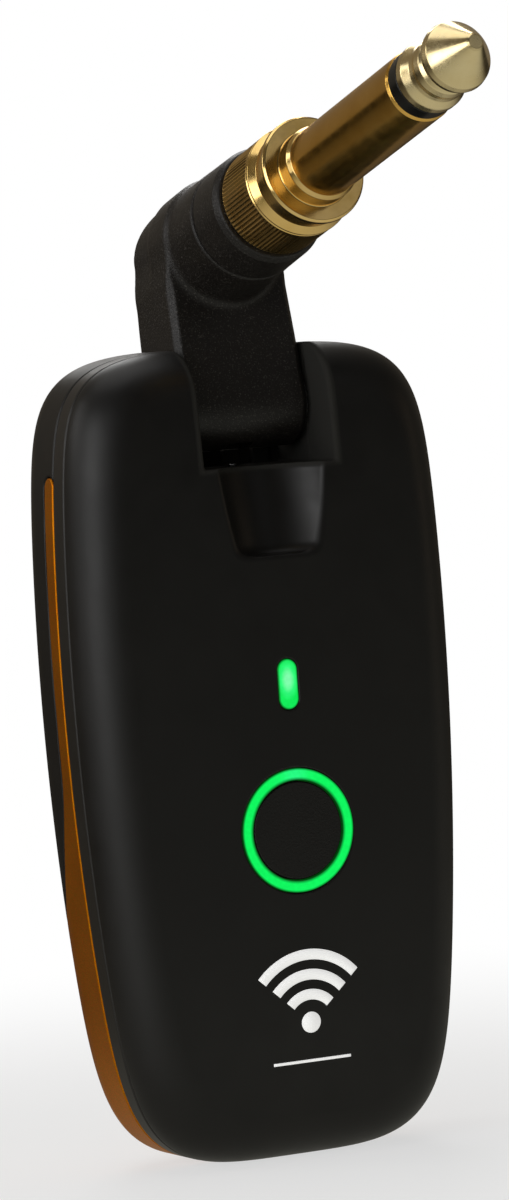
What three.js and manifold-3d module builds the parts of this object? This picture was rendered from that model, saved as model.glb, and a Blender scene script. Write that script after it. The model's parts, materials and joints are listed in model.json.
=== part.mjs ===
// Wireless guitar transmitter with a folding 6.35 mm plug.
// Millimetres. +Z runs up the case towards the hinge, -Y is the front face, +X is the right
// hand side. The origin is the centre of the flat back of the rear cover.
import * as THREE from 'three';
import Module from 'manifold-3d';
import { mergeVertices } from 'three/addons/utils/BufferGeometryUtils.js';
import { ParametricGeometry } from 'three/addons/geometries/ParametricGeometry.js';

// ---------------------------------------------------------------- driving dimensions
// case
const CASE_HALF_WIDTH = 18.73;      // widest half width, above the middle
const CASE_WIDEST_Z = 9.69;
const CASE_TAPER = 0.00179;         // half width lost per mm squared from the widest height
const CASE_HALF_HEIGHT = 36.7;
const CASE_DEPTH = 16;
const FACE_Y = -CASE_DEPTH;
const FRONT_FILLET = 4.2;
const FRONT_CROWN = 1.25;           // gentle fall of the face towards its edge
const CROWN_REACH = 15;             // how far in from the edge the fall begins
const CROWN_POWER = 1.3;
const REAR_FILLET = 4.8;

// mouldings
const FRONT_WALL = 1.5;
const REAR_WALL = 2.0;
const TRIM_WALL = 1.0;
const SEAM = 0.05;                  // assembly gap between mouldings
const FRONT_SEAM_Y = -10.65;        // rear edge of the front cover
const MID_FRONT_Y = -10.6;
const MID_REAR_Y = -8.42;
const REAR_FRONT_Y = -8.35;         // front edge of the rear cover

// hinge and slot
const HINGE_Y = -8;
const HINGE_Z = 31.25;
const KNUCKLE_R = 3.9;
const ARM_HALF_WIDTH = 6.2;
const SLOT_HALF_WIDTH = 6.57;
const SLOT_FLOOR_Z = 25.86;
const SILL_Y = -4.4;                // low sill across the rear of the slot
const SILL_Z = 27.45;
const TROUGH_R = 5.95;
const TROUGH_BOTTOM_Z = 17.8;
const TROUGH_RISE = 1.9;            // depth lost from the slot floor to the trough bottom
const TROUGH_AXIS_GAP = 2.6;        // axis in front of the face, at the slot floor
const CHEEK_OUT = 9.4;              // outer face of the hinge cheeks
const PIN_R = 1.5;
const PIN_HOLE_GAP = 0.02;
const RUNNING_GAP = 0.06;           // bushings and washers on the pin

// plug
const PLUG_REST_DEG = 16.08;        // plug tilt above the horizontal in the rest pose
const PLUG_OFFSET = 14.03;          // hinge axis to plug axis
const COLLAR_S = 24.6;              // hinge to collar face, along the plug
const BARREL_R = 5.6;
const SLEEVE_R = 3.175;             // 6.35 mm plug
const PLUG_LENGTH = 31.08;

// button and light
const BUTTON_Z = -6.95;
const RING_OUT_R = 5.58;
const RING_IN_R = 4.49;
const BUTTON_R = 4.42;
const LED_Z = 6.2;
const LED_HALF_LENGTH = 2.28;
const LED_HALF_WIDTH = 1.0;

// electronics
const PCB_FRONT = -10.2;
const PCB_REAR = -9.2;
const SOLDER_GAP = 0.03;            // between the board and the parts on it
const USB_Y = -6.1;
const BATTERY_Y = -5.25;
const WIRE_R = 0.42;

const CASE_SCREWS = [[-13, 21.5], [13, 21.5], [-10.8, -29.5], [10.8, -29.5]];  // x, z

// reaches beyond the case, for cuts that pass right through
const ALL_X = [-30, 30];
const ALL_Z = [-50, 50];
const ABOVE_Z = 50;
const BELOW_Z = -50;
const FORE_Y = -20;
const AFT_Y = 2;

const SIDES = [-1, 1];              // left, right

// ---------------------------------------------------------------- solid helpers
const wasm = await Module();
wasm.setup();

// welds a closed geometry, drops collapsed triangles and turns its faces outwards
function solid(geometry) {
  geometry.deleteAttribute('normal');
  geometry.deleteAttribute('uv');
  const welded = mergeVertices(geometry, 1e-4);
  const { position } = welded.attributes;
  const source = welded.index.array;
  const corners = [];
  for (let i = 0; i < source.length; i += 3) {
    const [a, b, c] = [source[i], source[i + 1], source[i + 2]];
    if (a !== b && b !== c && a !== c) corners.push(a, b, c);
  }
  const vertex = (k) => new THREE.Vector3().fromBufferAttribute(position, k);
  let volume = 0;
  for (let i = 0; i < corners.length; i += 3) {
    const normal = vertex(corners[i + 1]).cross(vertex(corners[i + 2]));
    volume += vertex(corners[i]).dot(normal);
  }
  if (volume < 0) {
    for (let i = 0; i < corners.length; i += 3) {
      [corners[i + 1], corners[i + 2]] = [corners[i + 2], corners[i + 1]];
    }
  }
  return new wasm.Manifold(new wasm.Mesh({
    numProp: 3,
    vertProperties: new Float32Array(position.array),
    triVerts: new Uint32Array(corners),
  }));
}

function geometryOf(manifold) {
  const { vertProperties, triVerts } = manifold.getMesh();
  const geometry = new THREE.BufferGeometry();
  geometry.setAttribute('position',
    new THREE.BufferAttribute(new Float32Array(vertProperties), 3));
  geometry.setIndex(new THREE.BufferAttribute(new Uint32Array(triVerts), 1));
  geometry.computeVertexNormals();
  return geometry;
}

const addAll = (body, parts) => parts.reduce((sum, part) => sum.add(part), body);
const cutAll = (body, parts) => parts.reduce((rest, part) => rest.subtract(part), body);

// [low, high] about a centre
const span = (centre, half) => [centre - half, centre + half];
// [low, high] between two distances from the middle, on one side
const onSide = (side, near, far) => (side < 0 ? [-far, -near] : [near, far]);

// box from its [low, high] along each axis
function box([x0, x1], [y0, y1], [z0, z1]) {
  const geometry = new THREE.BoxGeometry(x1 - x0, y1 - y0, z1 - z0);
  geometry.translate((x0 + x1) / 2, (y0 + y1) / 2, (z0 + z1) / 2);
  return solid(geometry);
}

function extrude(outline, depth, bevel = 0) {
  const shape = new THREE.Shape(outline.map(([a, b]) => new THREE.Vector2(a, b)));
  return new THREE.ExtrudeGeometry(shape, {
    depth: depth - 2 * bevel,
    bevelEnabled: bevel > 0,
    bevelSize: bevel,
    bevelThickness: bevel,
    bevelOffset: -bevel,
    bevelSegments: 1,
  });
}

// prism of a (y, z) outline
function prismX(outline, [x0, x1], bevel = 0) {
  const geometry = extrude(outline, x1 - x0, bevel);
  geometry.applyMatrix4(new THREE.Matrix4().makeBasis(
    new THREE.Vector3(0, 1, 0), new THREE.Vector3(0, 0, 1), new THREE.Vector3(1, 0, 0)));
  geometry.translate(x0 + bevel, 0, 0);
  return solid(geometry);
}

// prism of an (x, z) outline
function prismY(outline, [y0, y1]) {
  const geometry = extrude(outline, y1 - y0);
  geometry.rotateX(Math.PI / 2);
  geometry.translate(0, y1, 0);
  return solid(geometry);
}

// prism of an (x, y) outline
function prismZ(outline, [z0, z1]) {
  const geometry = extrude(outline, z1 - z0);
  geometry.translate(0, 0, z0);
  return solid(geometry);
}

function lathe(profile, segments) {
  const points = profile.map(([radius, along]) => new THREE.Vector2(radius, along));
  const geometry = new THREE.LatheGeometry(points, segments);
  geometry.rotateY(Math.PI / segments);
  return geometry;
}

// turned piece about the Y direction through (x, z); profile is [radius, y]
function turnY(profile, segments, x = 0, z = 0) {
  const geometry = lathe(profile, segments);
  geometry.translate(x, 0, z);
  return solid(geometry);
}

// turned piece about the X direction through (y, z); profile is [radius, x]
function turnX(profile, segments, y = 0, z = 0) {
  const geometry = lathe(profile, segments);
  geometry.rotateZ(-Math.PI / 2);
  geometry.translate(0, y, z);
  return solid(geometry);
}

const closed = (points) => [...points, points[0]];
const rodProfile = (r, [a, b]) => [[0, a], [r, a], [r, b], [0, b]];
const tubeProfile = (inner, outer, [a, b]) =>
  closed([[inner, a], [outer, a], [outer, b], [inner, b]]);
const rodY = (r, ends, segments, x, z) => turnY(rodProfile(r, ends), segments, x, z);
const rodX = (r, ends, segments, y, z) => turnX(rodProfile(r, ends), segments, y, z);
const tubeX = (inner, outer, ends, segments, y, z) =>
  turnX(tubeProfile(inner, outer, ends), segments, y, z);

// points of an elliptic arc, both ends included
function arc([centreA, centreB], [radiusA, radiusB], start, sweep, steps) {
  return Array.from({ length: steps + 1 }, (_, i) => {
    const angle = start + sweep * i / steps;
    return [centreA + radiusA * Math.cos(angle), centreB + radiusB * Math.sin(angle)];
  });
}

// round-ended outline, long in its second coordinate
function capsule(halfWidth, halfLength, centreB) {
  const radii = [halfWidth, halfWidth];
  const c = halfLength - halfWidth;
  return [...arc([0, c], radii, 0, Math.PI, 8), ...arc([0, -c], radii, Math.PI, Math.PI, 8)]
    .map(([a, b]) => [a, centreB + b]);
}

// the same outline laid on its side, long in its first coordinate
const flatCapsule = (halfWidth, halfLength, centreB) =>
  capsule(halfWidth, halfLength, 0).map(([a, b]) => [-b, centreB + a]);

// hexagonal wire along a smooth curve
function wire(points) {
  const extrudePath = new THREE.CatmullRomCurve3(points.map((p) => new THREE.Vector3(...p)));
  const hexagon = new THREE.Shape(Array.from({ length: 6 }, (_, i) => new THREE.Vector2(
    WIRE_R * Math.cos(i * Math.PI / 3), WIRE_R * Math.sin(i * Math.PI / 3))));
  return solid(new THREE.ExtrudeGeometry(hexagon,
    { steps: 10, extrudePath, bevelEnabled: false }));
}

// ---------------------------------------------------------------- case body
const OUTLINE_SEGMENTS = 44;
// exponents of the rounded outline: height term, width term
const UPPER_POWERS = [11.8, 4.21];
const LOWER_POWERS = [9.72, 4.02];

// [x, z] of the case outline a fraction of a turn from the top, found by bisection
function outlinePoint(turn) {
  const sine = Math.sin(2 * Math.PI * turn);
  const cosine = Math.cos(2 * Math.PI * turn);
  const rayX = Math.sign(sine) * Math.sqrt(Math.abs(sine)) * CASE_HALF_WIDTH;
  const rayZ = Math.sign(cosine) * Math.sqrt(Math.abs(cosine)) * CASE_HALF_HEIGHT;
  const level = (scale) => {       // 1 on the outline
    const x = Math.abs(rayX * scale);
    const z = rayZ * scale;
    const halfWidth = CASE_HALF_WIDTH - CASE_TAPER * (z - CASE_WIDEST_Z) ** 2;
    const [heightPower, widthPower] = z > 0 ? UPPER_POWERS : LOWER_POWERS;
    return (x / halfWidth) ** widthPower + (Math.abs(z) / CASE_HALF_HEIGHT) ** heightPower;
  };
  let low = 0.3;
  let high = 1.3;
  for (let i = 0; i < 50; i++) {
    const middle = (low + high) / 2;
    if (level(middle) > 1) high = middle;
    else low = middle;
  }
  return [rayX * low, rayZ * low];
}

// section from the face round to the back: [distance in from the outline, y]
const FACE_STATIONS = [CROWN_REACH, 10, 6.5, 4.2, 2.6, 1.3, 0.4, 0];
const REAR_FILLET_DEGREES = [0, 30, 60, 90];
function caseSection() {
  const face = FACE_STATIONS.map((d) => {
    const intoFillet = Math.max(0, FRONT_FILLET - d);
    const fillet = FRONT_FILLET - Math.sqrt(FRONT_FILLET ** 2 - intoFillet ** 2);
    const crown = FRONT_CROWN * Math.max(0, 1 - d / CROWN_REACH) ** CROWN_POWER;
    return [d, FACE_Y + fillet + crown];
  });
  const rear = REAR_FILLET_DEGREES.map((degrees) => {
    const angle = degrees * Math.PI / 180;
    return [REAR_FILLET * (1 - Math.cos(angle)), REAR_FILLET * (Math.sin(angle) - 1)];
  });
  return [...face, ...rear];
}

// the case shrunk inwards; frontInset applies to the face and its fillet
const FRONT_INSET_LIMIT_Y = -9;
function caseBody(inset, frontInset) {
  const section = caseSection();
  const moved = section.map(([d, y], i) => {
    const before = section[Math.max(0, i - 1)];
    const after = section[Math.min(section.length - 1, i + 1)];
    const alongD = after[0] - before[0];
    const alongY = after[1] - before[1];
    const distance = (y < FRONT_INSET_LIMIT_Y ? frontInset : inset) / Math.hypot(alongD, alongY);
    return [d + distance * alongY, y - distance * alongD];
  });
  moved[0][1] = FACE_Y + frontInset;
  moved.at(-1)[1] = -inset;

  // the first and last rows shrink to a point, closing the face and the back
  const rows = [moved[0], ...moved, moved.at(-1)];
  const last = rows.length - 1;
  const surface = (u, v, target) => {
    const row = Math.min(last, Math.round(v * last));
    const [d, y] = rows[row];
    if (row === 0 || row === last) {
      target.set(0, y, 0);
      return;
    }
    const [x, z] = outlinePoint(u % 1);
    target.set(
      x * (CASE_HALF_WIDTH - d) / CASE_HALF_WIDTH,
      y,
      z * (CASE_HALF_HEIGHT - d) / CASE_HALF_HEIGHT);
  };
  return solid(new ParametricGeometry(surface, OUTLINE_SEGMENTS, last));
}

const outer = caseBody(0, 0);
const innerFront = caseBody(FRONT_WALL, FRONT_WALL);
const innerRear = caseBody(REAR_WALL, FRONT_WALL);
const underTrim = caseBody(TRIM_WALL + SEAM, TRIM_WALL + SEAM);
const trimInner = caseBody(TRIM_WALL, TRIM_WALL);
const inHinge = caseBody(REAR_WALL + SEAM, FRONT_WALL + SEAM);

// slot for the arm, open to the front, the top and the rear;
// its floor steps up to a low sill at the rear
const slot = prismX([
  [FORE_Y, SLOT_FLOOR_Z], [SILL_Y, SLOT_FLOOR_Z], [SILL_Y, SILL_Z],
  [AFT_Y, SILL_Z], [AFT_Y, ABOVE_Z], [FORE_Y, ABOVE_Z],
], span(0, SLOT_HALF_WIDTH));

// charging port opening through the bottom end
const usbOpening = prismZ(flatCapsule(1.75, 4.65, USB_Y), [-42, -30]);

// ---------------------------------------------------------------- front cover
// finger trough below the slot: a round groove that gets shallower downwards
function makeTrough() {
  const geometry = new THREE.CylinderGeometry(TROUGH_R, TROUGH_R, 30, 48);
  const slope = Math.atan2(TROUGH_RISE, SLOT_FLOOR_Z - TROUGH_BOTTOM_Z);
  geometry.rotateX(Math.PI / 2 - slope);
  geometry.translate(0, FACE_Y - TROUGH_AXIS_GAP, SLOT_FLOOR_Z);
  return solid(geometry).intersect(box(ALL_X, [-30, 0], [TROUGH_BOTTOM_Z, ABOVE_Z]));
}

function makeFrontCover() {
  const depth = [FORE_Y, FRONT_SEAM_Y];
  const block = outer.intersect(box(span(0, 8.2), depth, [16.2, ABOVE_Z]));
  const posts = CASE_SCREWS.map(([x, z]) =>
    rodY(2.0, [FACE_Y, -9.6], 14, x, z).intersect(trimInner));
  const pilotHoles = CASE_SCREWS.map(([x, z]) => rodY(0.95, [-12.3, -9], 12, x, z));
  const ringHole = rodY(RING_OUT_R + SEAM, depth, 40, 0, BUTTON_Z);
  const lensHole = prismY(
    capsule(LED_HALF_WIDTH + SEAM, LED_HALF_LENGTH + SEAM, LED_Z), depth);

  const shell = outer.intersect(box(ALL_X, depth, ALL_Z)).subtract(innerFront);
  const slotted = shell.add(block).subtract(slot).subtract(makeTrough());
  return cutAll(addAll(slotted, posts), [...pilotHoles, ringHole, lensHole]);
}

// ---------------------------------------------------------------- side trim
// rear edge of the trim band, then its sweep to the back: [y, z]
const TRIM_LINE = [
  [-6.55, -2], [-5.95, -4.4], [-5.35, -6.7], [-4.68, -9.4],
  [-4.0, -12], [-2.9, -14.2], [-1.2, -16.2], [1.5, -18.2],
];
const TRIM_TOP_Z = 26.1;

// side view of the trim, grown by a gap: a round-topped band that widens over the bottom end
function trimRegion(gap) {
  const frontY = REAR_FRONT_Y - gap;
  const rearY = TRIM_LINE[0][0] + gap;
  const radius = (rearY - frontY) / 2;
  const topCentre = [(rearY + frontY) / 2, TRIM_TOP_Z + gap - radius];
  return prismX([
    [frontY, BELOW_Z],
    ...arc(topCentre, [radius, radius], Math.PI, -Math.PI, 6),
    ...TRIM_LINE.map(([y, z]) => [y + gap, z + gap]),
    [AFT_Y, TRIM_LINE.at(-1)[1] + gap],
    [AFT_Y, BELOW_Z],
  ], ALL_X);
}

function makeSideTrim() {
  const screwHoles = CASE_SCREWS.filter(([, z]) => z < 0)
    .map(([x, z]) => rodY(1.85, [-3, AFT_Y], 14, x, z));
  const band = outer.intersect(trimRegion(0)).subtract(trimInner);
  return cutAll(band, [usbOpening, ...screwHoles]);
}

// ---------------------------------------------------------------- rear cover
function makeRearCover() {
  const bosses = CASE_SCREWS.map(([x, z]) =>
    rodY(2.4, [-9.3, -0.5], 14, x, z).intersect(underTrim));
  const screwHoles = CASE_SCREWS.flatMap(([x, z]) => [
    rodY(1.75, [-2.3, AFT_Y], 14, x, z),          // head
    rodY(1.0, [-10, -2], 12, x, z),               // shank
  ]);
  const shell = outer.intersect(box(ALL_X, [REAR_FRONT_Y, AFT_Y], ALL_Z))
    .subtract(innerRear)
    .subtract(trimRegion(SEAM).subtract(underTrim));
  return cutAll(addAll(shell, bosses), [slot, ...screwHoles, usbOpening]);
}

// ---------------------------------------------------------------- mid frame
const CRADLE_BOTTOM_Z = 24.15;
const CHEEK_WALL = 1.6;             // cheek left beside the slot at its rear upper corner
const CORNER_FRONT_Y = -7.9;
const CORNER_BOTTOM_Z = 33.6;
const LEAD_OPENING_HALF = 1.6;
const RIB_XS = [-4.45, -1.45, 1.45, 4.45];
const RIB_HALF_WIDTH = 0.85;

// a ring between the covers, with the hinge cradle at the top
function makeMidFrame() {
  const depth = [MID_FRONT_Y, MID_REAR_Y];
  const cradleX = span(0, CHEEK_OUT);
  const cradleZ = [CRADLE_BOTTOM_Z, ABOVE_Z];
  const cradle = box(cradleX, [MID_FRONT_Y, -1], cradleZ).intersect(inHinge);
  const cradleRim = outer.intersect(box(cradleX, depth, cradleZ));
  const cheekCorners = SIDES.map((side) => box(
    onSide(side, SLOT_HALF_WIDTH + CHEEK_WALL, CHEEK_OUT + 2),
    [CORNER_FRONT_Y, 0], [CORNER_BOTTOM_Z, ABOVE_Z]));
  const pinHole = rodX(PIN_R + PIN_HOLE_GAP, [-12, 12], 24, HINGE_Y, HINGE_Z);
  const leadOpening = box(
    span(0, LEAD_OPENING_HALF), span(HINGE_Y, LEAD_OPENING_HALF), [20, 27]);
  // ribs standing against the front of the sill
  const ribs = RIB_XS.map((x) => box(
    span(x, RIB_HALF_WIDTH), [SILL_Y - 0.7, SILL_Y + 0.3], [SLOT_FLOOR_Z - 0.4, SILL_Z - 0.15]));

  const ring = outer.intersect(box(ALL_X, depth, ALL_Z)).subtract(innerFront);
  const cuts = [slot, ...cheekCorners, pinHole, leadOpening];
  return addAll(cutAll(ring.add(cradle).add(cradleRim), cuts), ribs);
}

// ---------------------------------------------------------------- light pieces and button
const statusLens = prismY(capsule(LED_HALF_WIDTH, LED_HALF_LENGTH, LED_Z), [FACE_Y, -13.6])
  .add(prismY(capsule(1.8, 3.1, LED_Z), [-14.2, -13.6]));     // flange behind the face

const ringGuide = turnY(closed([
  [RING_IN_R, FACE_Y], [RING_OUT_R, FACE_Y], [RING_OUT_R, -14.15],
  [6.6, -14.15], [6.6, -13.55], [RING_IN_R, -13.55],
]), 40, 0, BUTTON_Z);

const buttonCap = turnY([
  [0, -15.95], [BUTTON_R - 0.2, -15.95], [BUTTON_R, -15.75], [BUTTON_R, -13.48],
  [4.95, -13.48], [4.95, -12.95], [1.2, -12.95], [1.2, -12.35], [0, -12.35],
], 40, 0, BUTTON_Z);

// ---------------------------------------------------------------- electronics
const LED_FRONT_Y = -10.9;
const RING_LED_PITCH_R = 6.3;
const SWITCH_HALF = 2.25;
const CAN_WALL = 0.25;
const USB_WALL = 0.33;

const circuitBoard = box(span(0, 14.5), [PCB_FRONT, PCB_REAR], [-25.5, 18])
  .add(box(span(0, 7), [PCB_FRONT, PCB_REAR], [-34.2, -25]));

// block on the front of the board
const chip = (xSpan, frontY, zSpan) => box(xSpan, [frontY, PCB_FRONT - SOLDER_GAP], zSpan);

function makeShieldCan() {
  const [halfWidth, frontY, bottomZ, topZ] = [7.2, -11.9, -24.2, -13.4];
  return chip(span(0, halfWidth), frontY, [bottomZ, topZ]).subtract(box(
    span(0, halfWidth - CAN_WALL), [frontY + CAN_WALL, -9],
    [bottomZ + CAN_WALL, topZ - CAN_WALL]));
}

const switchBody = chip(span(0, SWITCH_HALF), -11.75, span(BUTTON_Z, SWITCH_HALF))
  .subtract(rodY(1.06, [-14, -11], 20, 0, BUTTON_Z));
const switchPlunger = rodY(1.0, [-12.3, -11.4], 20, 0, BUTTON_Z);

const ringLeds = [45, 135, 225, 315].map((degrees) => {
  const angle = degrees * Math.PI / 180;
  const x = RING_LED_PITCH_R * Math.cos(angle);
  const z = BUTTON_Z + RING_LED_PITCH_R * Math.sin(angle);
  return chip(span(x, 0.8), LED_FRONT_Y, span(z, 0.5));
});

const batteryCell = prismZ(flatCapsule(2.3, 12, BATTERY_Y), [-24, 14]);

// from the top of the cell over to the connector behind the board
const batteryLead = (x) => wire([
  [x - 2.2, -5.3, 14.08], [x - 2.2, -5.2, 16.2], [x - 1.4, -5.0, 18.9],
  [x, -6.4, 19.3], [x, -7.9, 18.9], [x, -8.0, 17.68],
]);

// socket shell, open at the bottom end, with a leg each side to the board
function makeUsbShell() {
  const [halfDepth, halfWidth] = [1.63, 4.47];
  const legs = SIDES.map((side) =>
    box(onSide(side, 3.7, 4.3), [PCB_REAR + SOLDER_GAP, -7.2], [-33.6, -32.4]));
  const bore = flatCapsule(halfDepth - USB_WALL, halfWidth - USB_WALL, USB_Y);
  const shell = prismZ(flatCapsule(halfDepth, halfWidth, USB_Y), [-36, -28.8])
    .subtract(prismZ(bore, [-37, -30.8]));
  return addAll(shell, legs);
}

// from the hinge slot down to the back of the board
const caseLead = wire([
  [0, -8, 26.0], [0, -8, 23.5], [0.4, -8.0, 20.5],
  [0, -8.3, 18.6], [-1, -8.6, 16.8], [-2, -8.7, 15.2],
]);

// ---------------------------------------------------------------- hinge and case fasteners
// headed at the left, grooved for the clip at the right
const hingePin = turnX([
  [0, -10.2], [2.4, -10.2], [2.4, -9.45], [PIN_R, -9.45], [PIN_R, 9.45],
  [1.2, 9.45], [1.2, 9.95], [PIN_R, 9.95], [PIN_R, 10.3], [0, 10.3],
], 24, HINGE_Y, HINGE_Z);

const retainingClip = tubeX(1.25, 2.7, [9.48, 9.92], 24, HINGE_Y, HINGE_Z)
  .subtract(box([9, 10.5], span(HINGE_Y, 0.9), [HINGE_Z - 4, HINGE_Z]));

const [leftWasher, rightWasher] = SIDES.map((side) =>
  tubeX(PIN_R + RUNNING_GAP, 3.1, onSide(side, 6.28, 6.52), 24, HINGE_Y, HINGE_Z));

// [radius, y] from the point to the recessed head
const SCREW_PROFILE = [
  [0, -12.1], [0.85, -11.6], [0.9, -2.25], [1.6, -2.25],
  [1.6, -1.45], [0.75, -1.45], [0.75, -1.9], [0, -1.9],
];
const screws = CASE_SCREWS.map(([x, z]) => turnY(SCREW_PROFILE, 12, x, z));

// ---------------------------------------------------------------- arm, in its own frame
// hinge axis at the origin, plug pointing along -Y at height PLUG_OFFSET
const BACK_COVER_GAP = 0.06;
const ARCH_R = 5.62;

// side view: [y, z]
const ARM_PROFILE = [
  ...arc([0, 0], [KNUCKLE_R, KNUCKLE_R], Math.PI, Math.PI, 10),   // front to back, underneath
  [3.75, 6.5], [2.45, 12.6],                                      // back of the arm
  ...arc([-1.9, PLUG_OFFSET], [4.05, BARREL_R], 0, Math.PI / 2, 6),   // rounded elbow
  [-5.0, PLUG_OFFSET + BARREL_R], [-4.85, 12.0],
];

// front view: [x, z]
const ARM_ARCH = [
  [-ARM_HALF_WIDTH - 0.1, -5], [ARM_HALF_WIDTH + 0.1, -5], [ARM_HALF_WIDTH + 0.1, 0], [6.0, 12],
  ...arc([0, PLUG_OFFSET], [ARCH_R, ARCH_R], 0, Math.PI, 14),
  [-6.0, 12], [-ARM_HALF_WIDTH - 0.1, 0],
];

// rectangle of the back cover, and the space behind its inner face
const backWindow = (gap) => box(span(0, 3.9 + gap), [0.8, 8], [4.9 - gap, 11.9 + gap]);
const behindFace = (gap) => prismX(
  [[2.5 + gap, 0], [9, 0], [9, 20], [-0.43 + gap, 20], [2.45 + gap, 6.5]], [-8, 8]);

function makeArm() {
  const blank = prismX(ARM_PROFILE, span(0, ARM_HALF_WIDTH + 0.05), 0.55)
    .intersect(prismY(ARM_ARCH, [-12, 8]));
  const barrel = turnY([[0, -10.6], [5.3, -10.6], [5.5, -10.4], [BARREL_R, -4], [0, -4]],
    40, 0, PLUG_OFFSET);
  return cutAll(blank.add(barrel), [
    turnY([[0, -12], [3.7, -12], [3.7, 0.2], [2.4, 1.4], [0, 1.4]], 32, 0, PLUG_OFFSET),
    box(span(0, 2.2), [-2.0, 1.6], [2, 13]),        // wire channel up the arm
    rodX(2.42, [-8, 8], 24),                        // bushing bore
    rodX(2.9, [-1.7, 1.7], 24),                     // wider middle of the bore
    box(span(0, 1.2), [-0.9, 1.7], [-6, 0]),        // opening under the knuckle
    backWindow(BACK_COVER_GAP).intersect(behindFace(0)),
    box(span(0, 2.6), [0, 4], [5.6, 11.8]),         // pocket in front of the back cover
  ]);
}

const armBackCover = backWindow(0)
  .intersect(prismX(ARM_PROFILE, [-8, 8]))
  .intersect(behindFace(BACK_COVER_GAP));

const [leftBushing, rightBushing] = SIDES.map((side) =>
  tubeX(PIN_R + RUNNING_GAP, 2.4, onSide(side, 1.9, 5.8), 24));

// ---------------------------------------------------------------- plug, in the arm's frame
// y of a distance beyond the collar face, towards the tip
const plugY = (s) => -(s + COLLAR_S);
// turned piece about the plug axis; profile is [radius, distance beyond the collar face]
const turnPlug = (profile, segments = 32) =>
  turnY(profile.map(([radius, s]) => [radius, plugY(s)]), segments, 0, PLUG_OFFSET);

const barrelRing = turnPlug(closed([
  [3.72, -13.9], [5.3, -13.9], [5.46, -13.7], [5.4, -9.5], [5.05, -8.9], [3.72, -8.9],
]));

const collar = turnPlug(closed([
  [3.0, -13.3], [3.66, -13.3], [3.66, -8.65], [4.85, -8.65], [5.0, -8.45], [5.0, -3.5],
  [4.88, -3.35], [5.03, -3.05], [5.03, -2.35], [4.78, -1.9], [4.78, -0.8], [4.88, -0.6],
  [4.88, -0.2], [4.7, 0], [3.42, 0], [3.42, 1.6], [3.2, 2.0], [3.0, 2.0],
]));

const plugSleeve = turnPlug(closed([
  [2.2, -12.7], [2.93, -12.7], [2.93, 2.05], [SLEEVE_R, 2.05],
  [SLEEVE_R, 20.6], [3.0, 20.9], [2.2, 20.9],
]));

const tipInsulator = turnPlug(closed([
  [1.28, -13.9], [2.12, -13.9], [2.12, 20.95], [3.05, 20.95], [3.05, 22.3], [1.28, 22.3],
]));

const plugTip = turnPlug([
  [0, -16.2], [1.2, -16.2], [1.2, 22.36], [3.02, 22.36], [3.1, 22.55], [3.1, 23.2],
  [2.74, 24.0], [2.64, 24.4], [2.68, 25.0], [2.58, 25.6], [2.3, 25.95], [2.3, 26.2],
  [3.02, 26.9], [3.1, 27.35], [3.0, 27.9], [0.78, 30.95], [0.6, PLUG_LENGTH], [0, PLUG_LENGTH],
]);

const sleeveLug = turnPlug(tubeProfile(2.18, 2.9, [-12.75, -13.25]), 24);

const TIP_LUG_ENDS = [-13.95, -14.45];
const tipLug = turnPlug(tubeProfile(1.24, 2.3, TIP_LUG_ENDS), 24)
  .add(box(span(0, 0.9), TIP_LUG_ENDS.map(plugY), [PLUG_OFFSET - 3.4, PLUG_OFFSET - 1.8]));

const tipWire = wire([
  [0.9, -0.9, 3.2], [0.9, -0.9, 8], [0.8, -1.1, 10.9],
  [0.4, -3.0, 11.7], [0, -6.0, 11.5], [0, -9.6, 11.5],
]);
const groundWire = wire([
  [-0.9, 0.3, 3.2], [-0.9, 0.3, 7], [-1.3, 0.1, 11],
  [-2.0, -1.2, 15.2], [-1.9, -4.5, 16.7], [-1.7, -8.9, 16.3],
]);

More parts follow.
